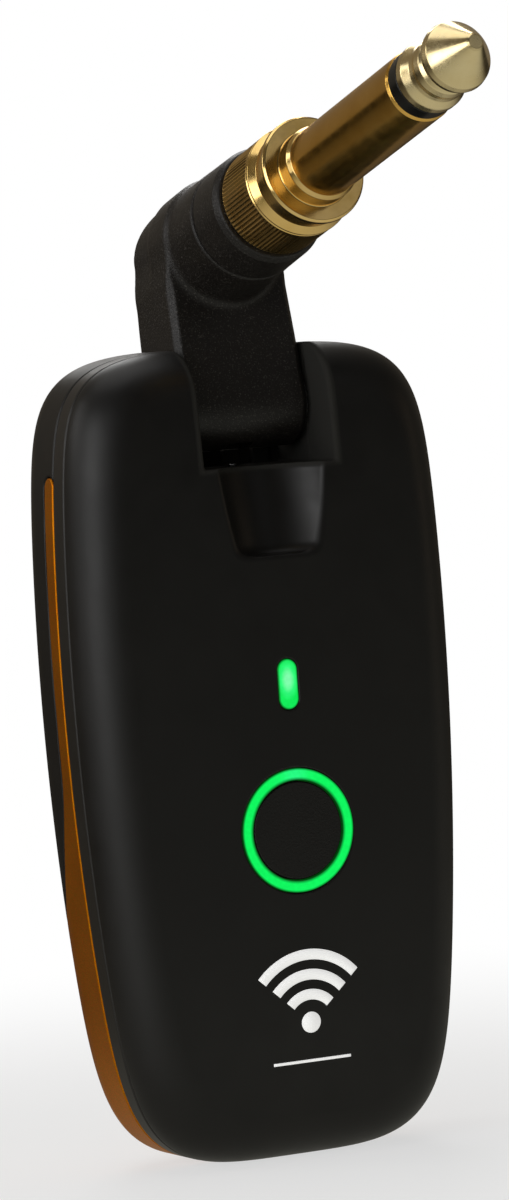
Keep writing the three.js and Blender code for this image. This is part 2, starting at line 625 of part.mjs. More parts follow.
// ---------------------------------------------------------------- materials
const plain = { metalness: 0 };
const metal = { metalness: 1 };
const FINISH = {
  caseBlack: { ...plain, color: 0x1b1816, roughness: 0.45 },
  frameBlack: { ...plain, color: 0x171513, roughness: 0.5 },
  buttonBlack: { ...plain, color: 0x1a1816, roughness: 0.5 },
  armBlack: { ...plain, color: 0x1c1a19, roughness: 0.6 },
  barrelBlack: { ...plain, color: 0x1c1a19, roughness: 0.55 },
  chipBlack: { ...plain, color: 0x101010, roughness: 0.4 },
  plungerBlack: { ...plain, color: 0x151515, roughness: 0.5 },
  tongueBlack: { ...plain, color: 0x111111, roughness: 0.5 },
  insulatorBlack: { ...plain, color: 0x0d0d0d, roughness: 0.4 },
  foam: { ...plain, color: 0x2a2a2a, roughness: 0.95 },
  boardGreen: { ...plain, color: 0x14512c, roughness: 0.5 },
  antennaCream: { ...plain, color: 0xe8e4da, roughness: 0.5 },
  connectorCream: { ...plain, color: 0xf0ece0, roughness: 0.5 },
  ledCream: { ...plain, color: 0xf2efe0, roughness: 0.4 },
  wireRed: { ...plain, color: 0xb01010, roughness: 0.5 },
  wireBlack: { ...plain, color: 0x141414, roughness: 0.5 },
  wireCharcoal: { ...plain, color: 0x1c1c1c, roughness: 0.5 },
  wireGrey: { ...plain, color: 0xb8b8b8, roughness: 0.5 },
  greenGlow: { ...plain, color: 0x10d838, roughness: 0.3, emissive: 0x00ff40 },
  trimBronze: { color: 0x9a5a1c, roughness: 0.4, metalness: 0.7 },
  can: { ...metal, color: 0xb8bcc0, roughness: 0.35 },
  crystal: { ...metal, color: 0xc8c8c8, roughness: 0.3 },
  switch: { ...metal, color: 0xb0b4b8, roughness: 0.4 },
  battery: { ...metal, color: 0xb9bcc2, roughness: 0.35 },
  usbShell: { ...metal, color: 0xc0c4c8, roughness: 0.25 },
  pin: { ...metal, color: 0xb4b8bc, roughness: 0.25 },
  clip: { ...metal, color: 0x909498, roughness: 0.3 },
  washer: { ...metal, color: 0xa8acb0, roughness: 0.35 },
  screw: { ...metal, color: 0x2a2a2c, roughness: 0.4 },
  bushing: { ...metal, color: 0xb08d4a, roughness: 0.3 },
  collar: { ...metal, color: 0xc9a24a, roughness: 0.28 },
  sleeve: { ...metal, color: 0xcaa04a, roughness: 0.15 },
  tip: { ...metal, color: 0xd8bf78, roughness: 0.18 },
  lug: { ...metal, color: 0xc8b070, roughness: 0.3 },
};

function mesh(name, manifold, finish) {
  const part = new THREE.Mesh(geometryOf(manifold), new THREE.MeshStandardMaterial(finish));
  part.name = name;
  return part;
}

// ---------------------------------------------------------------- assembly
const caseGroup = new THREE.Group();
caseGroup.add(
  mesh('front_cover', makeFrontCover(), FINISH.caseBlack),
  mesh('mid_frame', makeMidFrame(), FINISH.frameBlack),
  mesh('rear_cover', makeRearCover(), FINISH.caseBlack),
  mesh('side_trim', makeSideTrim(), FINISH.trimBronze),
  mesh('status_lens', statusLens, FINISH.greenGlow),
  mesh('ring_light_guide', ringGuide, FINISH.greenGlow),
  mesh('power_button_cap', buttonCap, FINISH.buttonBlack),
  mesh('main_circuit_board', circuitBoard, FINISH.boardGreen),
  mesh('rf_shield_can', makeShieldCan(), FINISH.can),
  mesh('radio_chip', chip([-5.5, -0.5], -11.15, [-21.5, -16.5]), FINISH.chipBlack),
  mesh('crystal', chip([2.2, 4.7], -10.95, [-20.6, -17.4]), FINISH.crystal),
  mesh('audio_converter_chip', chip([-9.5, -5.5], -11.05, [10.5, 14.5]), FINISH.chipBlack),
  mesh('charger_chip', chip([3.9, 5.2], -11.05, [-31.2, -28.2]), FINISH.chipBlack),
  mesh('chip_antenna', chip([-13.6, -9.2], -11.4, [-24.6, -16.6]), FINISH.antennaCream),
  mesh('tact_switch_body', switchBody, FINISH.switch),
  mesh('tact_switch_plunger', switchPlunger, FINISH.plungerBlack),
  mesh('status_led', chip(span(0, 1), LED_FRONT_Y, span(LED_Z, 1.5)), FINISH.ledCream),
  ...ringLeds.map((led, i) => mesh(`ring_led_${i + 1}`, led, FINISH.ledCream)),
  mesh('battery_cell', batteryCell, FINISH.battery),
  mesh('battery_foam_pad', box(span(0, 9), [-2.85, -2.1], [-18, 8]), FINISH.foam),
  mesh('battery_connector',
    box([3.4, 7.4], [PCB_REAR + SOLDER_GAP, -6.9], [15.2, 17.6]), FINISH.connectorCream),
  mesh('battery_lead_red', batteryLead(4.5), FINISH.wireRed),
  mesh('battery_lead_black', batteryLead(6.3), FINISH.wireBlack),
  mesh('usb_socket_shell', makeUsbShell(), FINISH.usbShell),
  mesh('usb_socket_tongue',
    box(span(0, 3.3), span(USB_Y, 0.35), [-35.4, -30.9]), FINISH.tongueBlack),
  mesh('hinge_pin', hingePin, FINISH.pin),
  mesh('hinge_retaining_clip', retainingClip, FINISH.clip),
  mesh('friction_washer_left', leftWasher, FINISH.washer),
  mesh('friction_washer_right', rightWasher, FINISH.washer),
  mesh('signal_lead_case', caseLead, FINISH.wireCharcoal),
  ...screws.map((screw, i) => mesh(`case_screw_${i + 1}`, screw, FINISH.screw)),
);

const armGroup = new THREE.Group();
armGroup.position.set(0, HINGE_Y, HINGE_Z);
armGroup.rotation.x = -PLUG_REST_DEG * Math.PI / 180;
armGroup.add(
  mesh('arm_body', makeArm(), FINISH.armBlack),
  mesh('arm_back_cover', armBackCover, FINISH.armBlack),
  mesh('hinge_bushing_left', leftBushing, FINISH.bushing),
  mesh('hinge_bushing_right', rightBushing, FINISH.bushing),
  mesh('barrel_ring', barrelRing, FINISH.barrelBlack),
  mesh('knurled_collar', collar, FINISH.collar),
  mesh('plug_sleeve', plugSleeve, FINISH.sleeve),
  mesh('tip_insulator', tipInsulator, FINISH.insulatorBlack),
  mesh('plug_tip', plugTip, FINISH.tip),
  mesh('sleeve_solder_lug', sleeveLug, FINISH.lug),
  mesh('tip_solder_lug', tipLug, FINISH.lug),
  mesh('tip_wire', tipWire, FINISH.wireGrey),
  mesh('ground_wire', groundWire, FINISH.wireCharcoal),
);

const transmitter = new THREE.Group();
transmitter.add(caseGroup, armGroup);

export default transmitter;
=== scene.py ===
"""A pocket-sized slab case with a 6.35 mm plug on a short tilted arm.

World frame: x runs across the case, y from the front face (y = -16) to the rear face (y = 0),
z up, with the case centred on x = 0 and z = 0. The arm rises from a hinge near the top of the
case and leans to the rear; its plug points to the front and slightly up.
Shapes are in millimetres, and turn to metres when a mesh is made. Shader lengths are in metres.

Most pieces are fields: functions of x, y, z that are negative inside the piece. A few are
turned profiles.
"""
import json
import math
from functools import reduce
from itertools import product

import bpy
import numpy as np
from mathutils import Matrix, Vector


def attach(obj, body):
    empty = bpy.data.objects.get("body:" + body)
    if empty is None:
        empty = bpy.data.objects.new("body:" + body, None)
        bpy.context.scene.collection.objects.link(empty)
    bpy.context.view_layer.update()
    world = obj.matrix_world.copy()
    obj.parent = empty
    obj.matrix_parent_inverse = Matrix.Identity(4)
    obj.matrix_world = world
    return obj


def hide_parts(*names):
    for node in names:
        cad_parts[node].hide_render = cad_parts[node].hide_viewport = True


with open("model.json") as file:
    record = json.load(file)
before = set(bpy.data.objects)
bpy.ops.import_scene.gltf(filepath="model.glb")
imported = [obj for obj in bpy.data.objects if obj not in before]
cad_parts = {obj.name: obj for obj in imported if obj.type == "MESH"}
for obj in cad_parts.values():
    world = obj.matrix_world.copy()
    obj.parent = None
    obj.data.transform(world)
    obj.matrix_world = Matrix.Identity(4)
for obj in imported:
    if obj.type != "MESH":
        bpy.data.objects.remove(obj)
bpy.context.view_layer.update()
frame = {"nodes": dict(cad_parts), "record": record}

MM = 0.001

# ---------------------------------------------------------------- driving dimensions
HALF_WIDTH, HALF_HEIGHT, DEPTH = 18.73, 36.7, 16.0
MID_Y = -DEPTH / 2
WIDEST_Z = 9.69             # height at which the case is widest
SIDE_BOW = 0.00179          # loss of half width per square mm away from WIDEST_Z
FRONT_RADIUS, REAR_RADIUS = 4.2, 4.8
CROWN = 1.25                # how far the faces fall away at their outline

FRONT_SEAM = -10.65         # rear edge of the front cover
MID_FRONT, MID_REAR = -10.6, -8.42
REAR_FRONT = -8.35          # front edge of the rear cover
FRONT_WALL, MID_WALL, REAR_WALL, TRIM_WALL = 1.5, 1.5, 2.0, 1.0

SLOT_HALF, SLOT_Z = 6.57, 25.86     # slot for the arm: half width and floor
SILL_Y, SILL_Z = -4.4, 27.45        # raised sill at the rear of the slot
TROUGH_SLOPE = math.atan2(1.9, 8.06)
TROUGH_RADIUS, TROUGH_FOOT_Z = 5.95, 17.8

BUTTON_Z, BUTTON_HOLE_RADIUS = -6.95, 5.63
LED_Z = 6.2
LENS_RADIUS, LENS_HALF = 1.0, 2.28
SCREWS = [(-13, 21.5), (13, 21.5), (-10.8, -29.5), (10.8, -29.5)]   # (x, z)
USB_Y = -6.1

HINGE_Y, HINGE_Z = -8.0, 31.25
TILT = math.radians(16.08)
KNUCKLE = 3.9               # radius of the arm about the hinge
PLUG_UP = 14.03             # plug axis above the hinge, in the arm frame
COLLAR_REACH = 24.6         # end face of the collar ahead of the hinge, in the arm frame
PLUG_RADIUS = 3.175


# ---------------------------------------------------------------- field helpers
def soft_meet(first, second, blend):
    near = np.maximum(blend - np.abs(first - second), 0.0) / blend
    return np.maximum(first, second) + near * near * blend * 0.25


def soft_join(first, second, blend):
    return -soft_meet(-first, -second, blend)


def meet(*fields):
    return reduce(np.maximum, fields)


def join(*fields):
    return reduce(np.minimum, fields)


def cut(body, tool, blend=None):
    return np.maximum(body, -tool) if blend is None else soft_meet(body, -tool, blend)


def slab(value, centre, half):
    return np.abs(value - centre) - half


def between(value, low, high):
    return np.maximum(low - value, value - high)


def capsule(across, along, radius, half):
    return np.hypot(across, np.maximum(np.abs(along) - (half - radius), 0)) - radius


def smooth_step(value, start, end):
    part = np.clip((value - start) / (end - start), 0, 1)
    return part * part * (3 - 2 * part)


# ---------------------------------------------------------------- case outline and cut-outs
def inset(x, z):
    """Distance in from the case outline, found on scaled copies of the outline"""
    x, z = np.broadcast_arrays(np.abs(x), z)
    depth = np.minimum(HALF_WIDTH - x * 1.02, HALF_HEIGHT - np.abs(z))
    depth = np.clip(depth, -3.0, 15.5).astype(float)
    # exponents of the superellipse, above and below z = 0
    end_power = np.where(z > 0, 11.8, 9.72)
    side_power = np.where(z > 0, 4.21, 4.02)
    for _ in range(9):
        scale_x = HALF_WIDTH / (HALF_WIDTH - depth)
        scaled_z = z * (HALF_HEIGHT / (HALF_HEIGHT - depth))
        half_width = HALF_WIDTH - SIDE_BOW * (scaled_z - WIDEST_Z) ** 2
        side = (x * scale_x / np.maximum(half_width, 6.0)) ** side_power
        end = (np.abs(scaled_z) / HALF_HEIGHT) ** end_power
        level = np.maximum(side + end, 1e-12)
        error = level ** 0.25 - 1
        growth = side * side_power / (HALF_WIDTH - depth) + end * end_power / (HALF_HEIGHT - depth)
        slope = 0.25 * level ** (-0.75) * growth
        depth = np.clip(depth - error / np.maximum(slope, 1e-4), -4.0, 15.5)
    return depth


def face_fall(depth):
    return CROWN * np.clip(1 - np.maximum(depth, 0) / 15, 0, 1) ** 1.3


def case(x, y, z):
    """Whole outside of the case"""
    depth = inset(x, z)
    flat_y = y - face_fall(depth) * smooth_step(-y, 6.0, 10.4)
    radius = np.where(flat_y < MID_Y, FRONT_RADIUS, REAR_RADIUS)
    side = -depth + radius
    face = np.abs(flat_y - MID_Y) + MID_Y + radius
    corner = np.hypot(np.maximum(side, 0), np.maximum(face, 0))
    return np.minimum(np.maximum(side, face), 0) + corner - radius


def slot(x, y, z):
    """Slot through the top of the case, with a sill at its rear"""
    sides = soft_meet(np.abs(x) - SLOT_HALF, SLOT_Z - z, 0.4)
    return cut(sides, np.maximum(SILL_Y - y, z - SILL_Z), 0.1)


def trough(x, y, z):
    """Round sloping trough in the front face, below the slot"""
    across = ((y + DEPTH + 2.6) * math.cos(TROUGH_SLOPE)
              - (z - SLOT_Z) * math.sin(TROUGH_SLOPE))
    return soft_meet(np.hypot(x, across) - TROUGH_RADIUS, TROUGH_FOOT_Z - z, 1.1)


def usb_hole(x, y, z):
    return np.maximum(capsule(y - USB_Y, x, 1.75, 4.65), z + 28)


# rear edge of the side trim: (z, shift in y from its straight upper run)
TRIM_EDGE = np.array([
    (-45, 60), (-19.6, 11.5), (-18.2, 8.05), (-16.2, 5.35), (-14.2, 3.65), (-12, 2.55),
    (-9.4, 1.87), (-6.7, 1.2), (-4.4, 0.6), (-2, 0.12), (0, 0), (40, 0)])
TRIM_REAR = -6.55                               # y of the straight upper run
TRIM_TOP_Y, TRIM_TOP_Z, TRIM_TOP_RADIUS = -7.45, 25.2, 0.9
EDGE_STEP, EDGE_BLUR, EDGE_REACH = 0.1, 0.9, 40  # mm, mm, and steps either side

edge_z = np.arange(-45, 40, EDGE_STEP)
edge_shift = np.interp(edge_z, TRIM_EDGE[:, 0], TRIM_EDGE[:, 1])
blur = np.exp(-0.5 * (np.arange(-EDGE_REACH, EDGE_REACH + 1) * EDGE_STEP / EDGE_BLUR) ** 2)
edge_shift = np.convolve(np.pad(edge_shift, EDGE_REACH, mode="edge"), blur / blur.sum(),
                         mode="valid")
edge_slope = np.gradient(edge_shift, EDGE_STEP)


def trim_region(y, z):
    shift = np.interp(z, edge_z, edge_shift)
    slope = np.interp(z, edge_z, edge_slope)
    rear = (y - (TRIM_REAR + shift)) / np.sqrt(1 + slope * slope)
    round_end = np.hypot(y - TRIM_TOP_Y, z - TRIM_TOP_Z) - TRIM_TOP_RADIUS
    return np.where(z > TRIM_TOP_Z, round_end, np.maximum(REAR_FRONT - y, rear))


# ---------------------------------------------------------------- case mouldings
def seam_blend(x, z):
    """Seam edges are rounded, but stay sharp beside the slot"""
    return np.where((np.abs(x) < 7.4) & (z > 24), 0.03, 0.3)


def front_cover(x, y, z):
    outside = case(x, y, z)
    body = cut(outside, soft_join(slot(x, y, z), trough(x, y, z), 0.05), 0.42)
    button_hole = np.hypot(x, z - BUTTON_Z) - BUTTON_HOLE_RADIUS
    lens_hole = capsule(x, z - LED_Z, 1.03, 2.31)
    body = cut(body, join(button_hole, lens_hole), 0.14)
    body = soft_meet(body, y - FRONT_SEAM, seam_blend(x, z))
    # hollow, except for a block around the slot and trough
    block = meet(slab(x, 0, 8.2), 16.2 - z)
    body = cut(body, meet(outside + FRONT_WALL, -block))
    for screw_x, screw_z in SCREWS:
        radius = np.hypot(x - screw_x, z - screw_z)
        post = meet(radius - 2.0, y + 9.6, outside + 1.0)
        body = join(body, cut(post, meet(radius - 0.95, -12.3 - y)))
    return body


def mid_frame(x, y, z):
    outside = case(x, y, z)
    layer = slab(y, (MID_FRONT + MID_REAR) / 2, (MID_REAR - MID_FRONT) / 2)
    blend = seam_blend(x, z)
    band = cut(soft_meet(outside, layer, blend), outside + MID_WALL, 0.1)
    top_block = meet(slab(x, 0, 9.4), 24.15 - z)
    inner_block = soft_meet(meet(top_block, outside + 2.05), MID_FRONT - y, 0.03)
    outer_block = soft_meet(meet(top_block, outside), layer, blend)
    body = cut(join(band, inner_block, outer_block), slot(x, y, z), 0.35)
    side = np.abs(x)
    body = cut(body, meet(slab(side, 10.2, 2.03), -7.9 - y, 33.6 - z))
    # four ribs on the slot floor
    ribs = join(slab(side, 4.45, 0.85), slab(side, 1.45, 0.85))
    ribs = soft_meet(ribs, slab(z, 26.38, 0.92), 0.15)
    body = join(body, soft_meet(ribs, slab(y, -4.6, 0.5), 0.15))
    floor_hole = meet(side - 1.6, slab(y, MID_Y, 1.6), z - 27)
    body = cut(body, floor_hole, 0.1)
    hinge_bore = meet(np.hypot(y - HINGE_Y, z - HINGE_Z) - 1.52, side - 12)
    return cut(body, hinge_bore)


def rear_cover(x, y, z):
    outside = case(x, y, z)
    body = cut(soft_meet(outside, REAR_FRONT - y, 0.28), outside + REAR_WALL)
    trim_seat = cut(trim_region(y, z) - 0.06, outside + 1.05, 0.05)
    body = cut(body, trim_seat, 0.14)
    body = cut(body, slot(x, y, z), 0.6)
    for screw_x, screw_z in SCREWS:
        radius = np.hypot(x - screw_x, z - screw_z)
        body = join(body, meet(radius - 2.4, between(y, -9.3, -1.0), outside + 1.1))
        body = cut(body, meet(radius - 1.75, -2.3 - y), 0.3)
        body = cut(body, radius - 1.0)
    return cut(body, usb_hole(x, y, z), 0.1)


def side_trim(x, y, z):
    outside = case(x, y, z)
    body = cut(soft_meet(outside, trim_region(y, z), 0.22), outside + TRIM_WALL)
    for screw_x, screw_z in SCREWS[2:]:
        body = cut(body, np.hypot(x - screw_x, z - screw_z) - 1.85, 0.25)
    return cut(body, usb_hole(x, y, z), 0.35)


# ---------------------------------------------------------------- arm
# The arm frame has its origin on the hinge: x across, aft to the rear along the plug axis,
# and up square to both.
def to_world(points):
    aft, up = points[..., 1], points[..., 2]
    return np.stack([points[..., 0],
                     HINGE_Y + aft * math.cos(TILT) + up * math.sin(TILT),
                     HINGE_Z - aft * math.sin(TILT) + up * math.cos(TILT)], -1)


FRONT_DRAFT, BACK_DRAFT = math.radians(4.5), math.radians(1.32)
TOP_AFT, TOP_HALF_DEPTH, TOP_HALF_HEIGHT = -1.9, 4.05, 5.6   # ellipse that rounds the top
BEND_UP = 6.5               # height where the back of the arm starts to slope forward
ARCH_RADIUS = 5.62
PANEL_UP = 8.4              # centre of the back panel


def arm_profile(aft, up):
    """Side view of the arm"""
    knuckle = np.hypot(aft, up) - KNUCKLE
    front = -aft * math.cos(FRONT_DRAFT) - up * math.sin(FRONT_DRAFT) - KNUCKLE
    back = aft * math.cos(BACK_DRAFT) + up * math.sin(BACK_DRAFT) - KNUCKLE
    along_front = -aft * math.sin(FRONT_DRAFT) + up * math.cos(FRONT_DRAFT)
    along_back = -aft * math.sin(BACK_DRAFT) + up * math.cos(BACK_DRAFT)
    slant = np.where(up < PLUG_UP, (aft - 3.75) * 0.978 + (up - BEND_UP) * 0.2084, aft - 2.15)
    sides = np.maximum(front, soft_meet(back, slant, 0.8))
    along = np.where(aft < 0, along_front, along_back)
    body = np.where(along < 0, knuckle, sides)
    top_aft, top_up = aft - TOP_AFT, up - PLUG_UP
    ratio = np.hypot(top_aft / TOP_HALF_DEPTH, top_up / TOP_HALF_HEIGHT)
    slope = np.hypot(top_aft / TOP_HALF_DEPTH ** 2, top_up / TOP_HALF_HEIGHT ** 2)
    top = np.where((top_aft > 0) & (top_up > 0), ratio * (ratio - 1) / np.maximum(slope, 1e-6),
                   top_up - TOP_HALF_HEIGHT)
    return np.maximum(body, top)


def behind_recess(aft, up, gap):
    """Space to the rear of the recess floor, which bends forward at BEND_UP"""
    return np.where(up < BEND_UP, 2.46 + gap - aft,
                    (2.45 + gap - 0.2133 * (up - BEND_UP) - aft) * 0.978)


def arm_body(x, aft, up):
    profile = arm_profile(aft, up)
    half = 6.3 - 0.025 * np.clip(up, 0, PLUG_UP) - 0.33 * smooth_step(up, 10.5, PLUG_UP)
    plug_distance = np.hypot(x, up - PLUG_UP)
    arch = np.where(up > PLUG_UP, plug_distance - ARCH_RADIUS, np.abs(x) - half)
    # chamfer on the legs, fading out towards the arch
    leg = 0.56 * (1 - smooth_step(up, 9.5, 13.0)) + 0.02
    chamfer = (profile + arch + leg) * 0.70711
    body = soft_meet(soft_meet(profile, arch, 0.2), chamfer, 0.14)
    # barrel around the plug, slightly tapered, and its bore
    taper = 5.6 + 0.1 * np.clip((aft + 4) / 6.4, -1, 0)
    barrel = soft_meet(plug_distance - taper, between(aft, -10.6, -2.0), 0.35)
    body = soft_join(body, barrel, 1.1)
    body = cut(body, meet(plug_distance - 3.7, aft - 0.2))
    # passage from the bore down to the hinge
    body = cut(body, meet(slab(x, 0, 2.2), slab(aft, -0.2, 1.8), slab(up, 7.5, 5.5)))
    hinge = np.hypot(aft, up)
    body = cut(body, join(hinge - 2.42, meet(hinge - 2.9, slab(x, 0, 1.7))), 0.12)
    body = cut(body, meet(slab(x, 0, 1.2), slab(aft, 0.4, 1.3), up))
    # recess for the back panel, and a channel behind it
    recess = meet(slab(x, 0, 3.96), slab(up, PANEL_UP, 3.56), behind_recess(aft, up, 0.0))
    body = cut(body, recess, 0.12)
    return cut(body, meet(slab(x, 0, 2.6), slab(up, 8.7, 3.1), between(aft, 0, 4)))


def arm_back_cover(x, aft, up):
    outline = soft_meet(slab(x, 0, 3.9), slab(up, PANEL_UP, 3.5), 0.5)
    body = soft_meet(arm_profile(aft, up) + 0.02, outline, 0.35)
    return soft_meet(body, behind_recess(aft, up, 0.06), 0.1)


# ---------------------------------------------------------------- lens, screws and socket
def status_lens(x, y, z):
    stem = soft_meet(capsule(x, z - LED_Z, LENS_RADIUS, LENS_HALF), -15.99 - y, 0.12)
    flange = meet(capsule(x, z - LED_Z, 1.8, 3.1), slab(y, -13.9, 0.3))
    return join(meet(stem, y + 13.6), flange)


def case_screw(x, y, z):
    """Cross-head screw on the y axis, its head to the rear"""
    radius = np.hypot(x, z)
    head = soft_meet(radius - 1.6, slab(y, -1.85, 0.4), 0.25)
    shank = meet(radius - 0.9, between(y, -12.0, -2.0))
    cross = join(meet(slab(x, 0, 0.24), slab(z, 0, 0.95)), meet(slab(z, 0, 0.24), slab(x, 0, 0.95)))
    return cut(join(head, shank), meet(cross, -2.0 - y), 0.08)


def usb_socket(x, y, z):
    outer = capsule(y - USB_Y, x, 1.63, 4.47)
    inner = capsule(y - USB_Y, x, 1.3, 4.14)
    body = soft_meet(outer, between(z, -36.0, -28.8) + 0.0, 0.15)
    body = cut(body, meet(inner, z + 29.8), 0.12)
    feet = meet(slab(np.abs(x), 4.0, 0.3), slab(y, -8.18, 0.98), slab(z, -33, 0.6))
    return join(body, feet)


# ---------------------------------------------------------------- meshing of fields
def axis_grid(spans):
    """Grid stations from [(start, step), ..., (end, None)]"""
    coarser = 1.0
    stations = []
    for (start, step), (end, _) in zip(spans[:-1], spans[1:]):
        count = max(1, int(round((end - start) / (step * coarser))))
        stations.append(np.linspace(start, end, count, endpoint=False))
    stations.append([spans[-1][0]])
    return np.concatenate(stations)


def surface_net(field, axes):
    """Quads over the zero level: one vertex per crossed cell, one face per crossed edge"""
    values = field(axes[0][:, None, None], axes[1][None, :, None], axes[2][None, None, :])
    inside = values < 0
    corners = list(product((0, 1), repeat=3))
    filled = np.zeros([size - 1 for size in values.shape], np.int8)
    for corner in corners:
        filled += inside[tuple(slice(o, o + size) for o, size in zip(corner, filled.shape))]
    active = (filled > 0) & (filled < 8)
    cells = np.nonzero(active)
    total = len(cells[0])
    ids = np.full(filled.shape, -1, np.int64)
    ids[active] = np.arange(total)

    def corner_place(corner):
        return np.stack([line[i + o] for line, i, o in zip(axes, cells, corner)], 1)

    at_corner = {corner: values[tuple(i + o for i, o in zip(cells, corner))]
                 for corner in corners}
    summed, crossings = np.zeros((total, 3)), np.zeros(total)
    for corner in corners:
        for axis in range(3):
            if corner[axis]:
                continue
            other = corner[:axis] + (1,) + corner[axis + 1:]
            here, there = at_corner[corner], at_corner[other]
            crossed = (here < 0) != (there < 0)
            part = np.where(crossed, here / np.where(crossed, here - there, 1), 0)
            start, end = corner_place(corner), corner_place(other)
            summed += np.where(crossed[:, None], start + part[:, None] * (end - start), 0)
            crossings += crossed

    faces = []
    for axis in range(3):
        second, third = (axis + 1) % 3, (axis + 2) % 3
        low, high = [slice(1, -1)] * 3, [slice(1, -1)] * 3
        low[axis], high[axis] = slice(None, -1), slice(1, None)
        edges = np.array(np.nonzero(inside[tuple(low)] != inside[tuple(high)]))
        edges[[second, third]] += 1
        quad = []
        for back_second, back_third in ((1, 1), (0, 1), (0, 0), (1, 0)):
            cell = edges.copy()
            cell[second] -= back_second
            cell[third] -= back_third
            quad.append(ids[tuple(cell)])
        quad = np.stack(quad, 1)
        faces.append(np.where(inside[tuple(edges)][:, None], quad, quad[:, ::-1]))
    return summed / crossings[:, None], np.concatenate(faces)


def gradient(field, points, reach=0.015):
    result = np.empty_like(points)
    for axis in range(3):
        high, low = points.copy(), points.copy()
        high[:, axis] += reach
        low[:, axis] -= reach
        result[:, axis] = (field(*high.T) - field(*low.T)) / (2 * reach)
    return result


def settle(field, points, steps=3, longest=0.12):
    """Move points onto the zero level; returns them with their unit normals"""
    for _ in range(steps):
        slope = gradient(field, points)
        steepness = np.maximum((slope * slope).sum(1), 0.05)
        move = -(field(*points.T) / steepness)[:, None] * slope
        length = np.linalg.norm(move, axis=1)
        points = points + move * np.minimum(1, longest / np.maximum(length, 1e-9))[:, None]
    slope = gradient(field, points)
    return points, slope / np.maximum(np.linalg.norm(slope, axis=1), 1e-9)[:, None]


def field_mesh(field, x, y, z):
    points, faces = surface_net(field, [axis_grid(spans) for spans in (x, y, z)])
    points, normals = settle(field, points)
    return points, faces.tolist(), normals


def make(name, points, faces, normals, look, replaces=None, body="case"):
    mesh = bpy.data.meshes.new(name)
    mesh.from_pydata((points * MM).tolist(), [], faces)
    mesh.validate()
    mesh.polygons.foreach_set("use_smooth", np.ones(len(mesh.polygons), bool))
    if normals is not None:
        mesh.normals_split_custom_set_from_vertices(normals.tolist())
    mesh.materials.append(LOOKS[look].owner)
    mesh.update()
    piece = bpy.data.objects.new(name, mesh)
    bpy.context.scene.collection.objects.link(piece)
    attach(piece, body)
    if replaces:
        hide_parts(replaces)


def field_piece(name, field, x, y, z, look, replaces, body="case"):
    """Mesh of a field on the grids x, y, z; fields of the arm are in the arm frame"""
    points, faces, normals = field_mesh(field, x, y, z)
    if body == "plug_arm":
        points = to_world(points)
        normals = to_world(normals) - np.array([0, HINGE_Y, HINGE_Z])
    make(name, points, faces, normals, look, replaces, body)


# ---------------------------------------------------------------- turned pieces
def triangle_corners(points, faces):
    triangles = np.array([face[:3] for face in faces]
                         + [[face[0], face[2], face[3]] for face in faces if len(face) == 4])
    return triangles[:, 0], [points[triangles[:, i]] for i in range(3)]


def facing_out(points, faces):
    """The faces of a closed skin, reversed if they enclose a negative volume"""
    _, (first, second, third) = triangle_corners(points - points.mean(0), faces)
    if float((first * np.cross(second, third)).sum()) < 0:
        return [face[::-1] for face in faces]
    return faces


def area_normals(grid):
    """Normals of a grid of rows by columns by 3, closed round the columns"""
    right = np.roll(grid, -1, 1)
    across = np.cross(right[1:] - grid[:-1], grid[1:] - right[:-1])
    total = np.zeros_like(grid)
    for part in (across, np.roll(across, 1, 1)):
        total[:-1] += part
        total[1:] += part
    return total / np.maximum(np.linalg.norm(total, axis=2), 1e-12)[..., None]


def fillet(points, steps):
    """Round the inner (radius, station, corner radius) points; two-value points stay sharp"""
    rounded = [points[0][:2]]
    for before, point, after in zip(points, points[1:], points[2:]):
        if len(point) == 2:
            rounded.append(point)
            continue
        corner = np.array(point[:2], float)
        back = np.array(before[:2], float) - corner
        ahead = np.array(after[:2], float) - corner
        back_length, ahead_length = np.linalg.norm(back), np.linalg.norm(ahead)
        back /= back_length
        ahead /= ahead_length
        angle = math.acos(max(-1, min(1, float(back @ ahead))))
        run = min(point[2] / math.tan(angle / 2), 0.49 * back_length, 0.49 * ahead_length)
        radius = run * math.tan(angle / 2)
        middle = back + ahead
        centre = corner + middle / np.linalg.norm(middle) * (radius / math.sin(angle / 2))
        start = math.atan2(*(corner + back * run - centre)[::-1])
        end = math.atan2(*(corner + ahead * run - centre)[::-1])
        sweep = (end - start + math.pi) % (2 * math.pi) - math.pi
        for k in range(steps + 1):
            turn = start + sweep * k / steps
            rounded.append((centre[0] + radius * math.cos(turn),
                            centre[1] + radius * math.sin(turn)))
    return rounded + [points[-1][:2]]


def subdivide(profile, spacing):
    dense = [profile[0]]
    for start, end in zip(profile[:-1], profile[1:]):
        run, rise = end[0] - start[0], end[1] - start[1]
        count = max(1, int(math.hypot(run, rise) / spacing))
        for k in range(1, count + 1):
            dense.append((start[0] + run * k / count, start[1] + rise * k / count))
    return dense


def along_plug(across, station, up):
    """Turned about the plug axis; stations run forward from the end face of the collar"""
    return to_world(np.stack([across, -(station + COLLAR_REACH), PLUG_UP + up], 2))


def along_button(across, station, up):
    """Turned about the button axis; stations are world y"""
    return np.stack([across, station, BUTTON_Z + up], 2)


